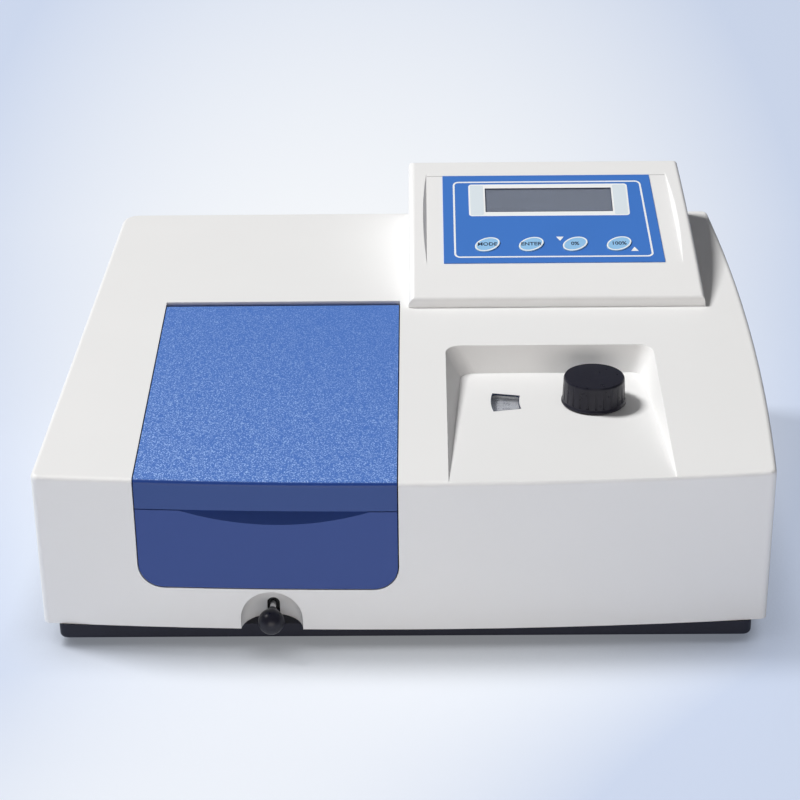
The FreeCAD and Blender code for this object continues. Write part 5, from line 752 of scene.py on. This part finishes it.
def make_floor():
    """A wide pale floor, white in the middle and bluer towards the instrument's ends and back, its glow darkened
    by a painted shade close to the instrument.
    """
    white, blue, strongest_glow = (0.94, 0.965, 1.0), (0.62, 0.70, 0.87), 0.66
    maker = bmesh.new()
    bmesh.ops.create_circle(maker, cap_ends=True, segments=96, radius=6.0)
    mesh = bpy.data.meshes.new("floor")
    maker.to_mesh(mesh)
    maker.free()
    floor = bpy.data.objects.new("floor", mesh)
    bpy.context.scene.collection.objects.link(floor)
    look = Look("floor", (0.86, 0.90, 0.97), 0.6)
    steepness, end_share, back_share, front_share = 2.2, 32.0, 0.45, 0.25
    split = look.node("ShaderNodeSeparateXYZ", Vector=look.place)
    x, y = split.outputs["X"], split.outputs["Y"]
    fan = look.math("DIVIDE", x, look.span(y, 1.1, 2.9, -0.5, 1.5))
    fan = look.math("ADD", fan, look.span(y, 0.1, 0.018, -0.36, -0.2))
    side = look.math("POWER", look.math("ABSOLUTE", fan), steepness)
    sideways = look.math("MULTIPLY", side, end_share)
    behind = look.math("MULTIPLY", look.span(y, 0, 1, 0.6, 1.5), back_share)
    front = look.math("MULTIPLY", look.span(y, 1, 0, -0.3, 0.1), front_share)
    tint = look.math("ADD", sideways, look.math("ADD", behind, front))
    fading = look.span(y, 0, 1, -1.5, -0.4)
    tint = look.math("MULTIPLY", look.span(tint, 0, 1, 0, 1), fading)
    painted_floor = look.blend(tint, white, blue)
    look.feed(look.shader.inputs["Base Color"], painted_floor)
    look.bump(look.noise(2 * mm, 2.0), 0.01 * mm)
    # painted shade: the floor's glow darkens where the instrument stands close above or beside it
    closeness = look.node("ShaderNodeAmbientOcclusion", {"samples": 12}, Distance=0.045)
    open_air = look.span(closeness.outputs["AO"], 0.33, 1, 0.35, 0.95)
    glow_with_painted_shade = look.blend(open_air, (0, 0, 0), painted_floor)
    seen = look.node("ShaderNodeLightPath")
    rays = look.math("ADD", seen.outputs["Is Camera Ray"], seen.outputs["Is Glossy Ray"])
    rays = look.math("ADD", rays, seen.outputs["Is Transmission Ray"])
    glow = look.node("ShaderNodeEmission", Color=glow_with_painted_shade, Strength=1.0)
    mixer = look.node("ShaderNodeMixShader")
    look.feed(mixer.inputs[0], look.math("MULTIPLY", rays, strongest_glow))
    look.feed(mixer.inputs[1], look.shader.outputs[0])
    look.feed(mixer.inputs[2], glow.outputs[0])
    look.feed(look.tree.nodes["Material Output"].inputs["Surface"], mixer.outputs[0])
    mesh.materials.append(look.material)


def aim(thing, place, target):
    """Puts a lamp at a place and points it at a target."""
    thing.location = place
    thing.rotation_euler = (Vector(target) - Vector(place)).to_track_quat("-Z", "Y").to_euler()


def softbox(name, place, target, width, length, power, colour=(1, 1, 1)):
    """A rectangular area lamp; power in watts."""
    light = bpy.data.lights.new(name, "AREA")
    light.shape = "RECTANGLE"
    light.size, light.size_y = width, length
    light.energy = power
    light.color = colour
    lamp = bpy.data.objects.new(name, light)
    bpy.context.scene.collection.objects.link(lamp)
    aim(lamp, place, target)


def light_studio():
    """A key from the upper left, a soft ceiling and a low fill from the front."""
    softbox("key", (-5.6, 1.6, 8.0), (0.1, 0, 0.1), 2.2, 2.2, 1015, (1, 0.995, 0.98))
    softbox("ceiling", (0.8, -0.3, 2.6), (0.2, 0, 0.1), 1.6, 1.2, 3)
    softbox("front_fill", (0.1, -2.7, 0.4), (0, 0, 0.05), 2.2, 0.9, 24, (1, 0.948, 0.895))
    world = bpy.data.worlds.new("studio")
    world.use_nodes = True
    tree = world.node_tree
    paint = tree.nodes["Background"]
    paint.inputs["Color"].default_value = (0.86, 0.88, 0.97, 1)
    paint.inputs["Strength"].default_value = 0.05
    seen = tree.nodes.new("ShaderNodeLightPath")
    backdrop = tree.nodes.new("ShaderNodeBackground")
    backdrop.inputs["Color"].default_value = (0.80, 0.87, 0.97, 1)
    backdrop.inputs["Strength"].default_value = 1.0
    mixer = tree.nodes.new("ShaderNodeMixShader")
    either = tree.nodes.new("ShaderNodeMath")
    either.operation = "MAXIMUM"
    tree.links.new(seen.outputs["Is Camera Ray"], either.inputs[0])
    tree.links.new(seen.outputs["Is Transmission Ray"], either.inputs[1])
    tree.links.new(either.outputs[0], mixer.inputs[0])
    tree.links.new(paint.outputs[0], mixer.inputs[1])
    tree.links.new(backdrop.outputs[0], mixer.inputs[2])
    tree.links.new(mixer.outputs[0], tree.nodes["World Output"].inputs["Surface"])
    bpy.context.scene.world = world


def make_camera():
    """The photograph's view: looking down at the front, a little turned."""
    place = Vector((9.995, -1360.846, 755.699)) * mm
    focal_pixels, image_pixels, sensor = 2099.54, 800, 36.0
    down, yaw, roll = math.radians(25.795), math.radians(0.696), math.radians(-0.684)
    right = Vector((math.cos(yaw), math.sin(yaw), 0))
    flat = math.cos(down)
    ahead = Vector((-math.sin(yaw) * flat, math.cos(yaw) * flat, -math.sin(down)))
    up = right.cross(ahead)
    turned = right * math.cos(roll) + up * math.sin(roll)
    upright = up * math.cos(roll) - right * math.sin(roll)
    data = bpy.data.cameras.new("camera")
    data.sensor_width = sensor
    data.lens = focal_pixels * sensor / image_pixels
    camera = bpy.data.objects.new("camera", data)
    bpy.context.scene.collection.objects.link(camera)
    axes = Matrix((turned, upright, -ahead)).transposed()
    camera.matrix_world = Matrix.Translation(place) @ axes.to_4x4()
    bpy.context.scene.camera = camera


make_floor()
light_studio()
make_camera()
bpy.context.scene.view_settings.view_transform = "Standard"
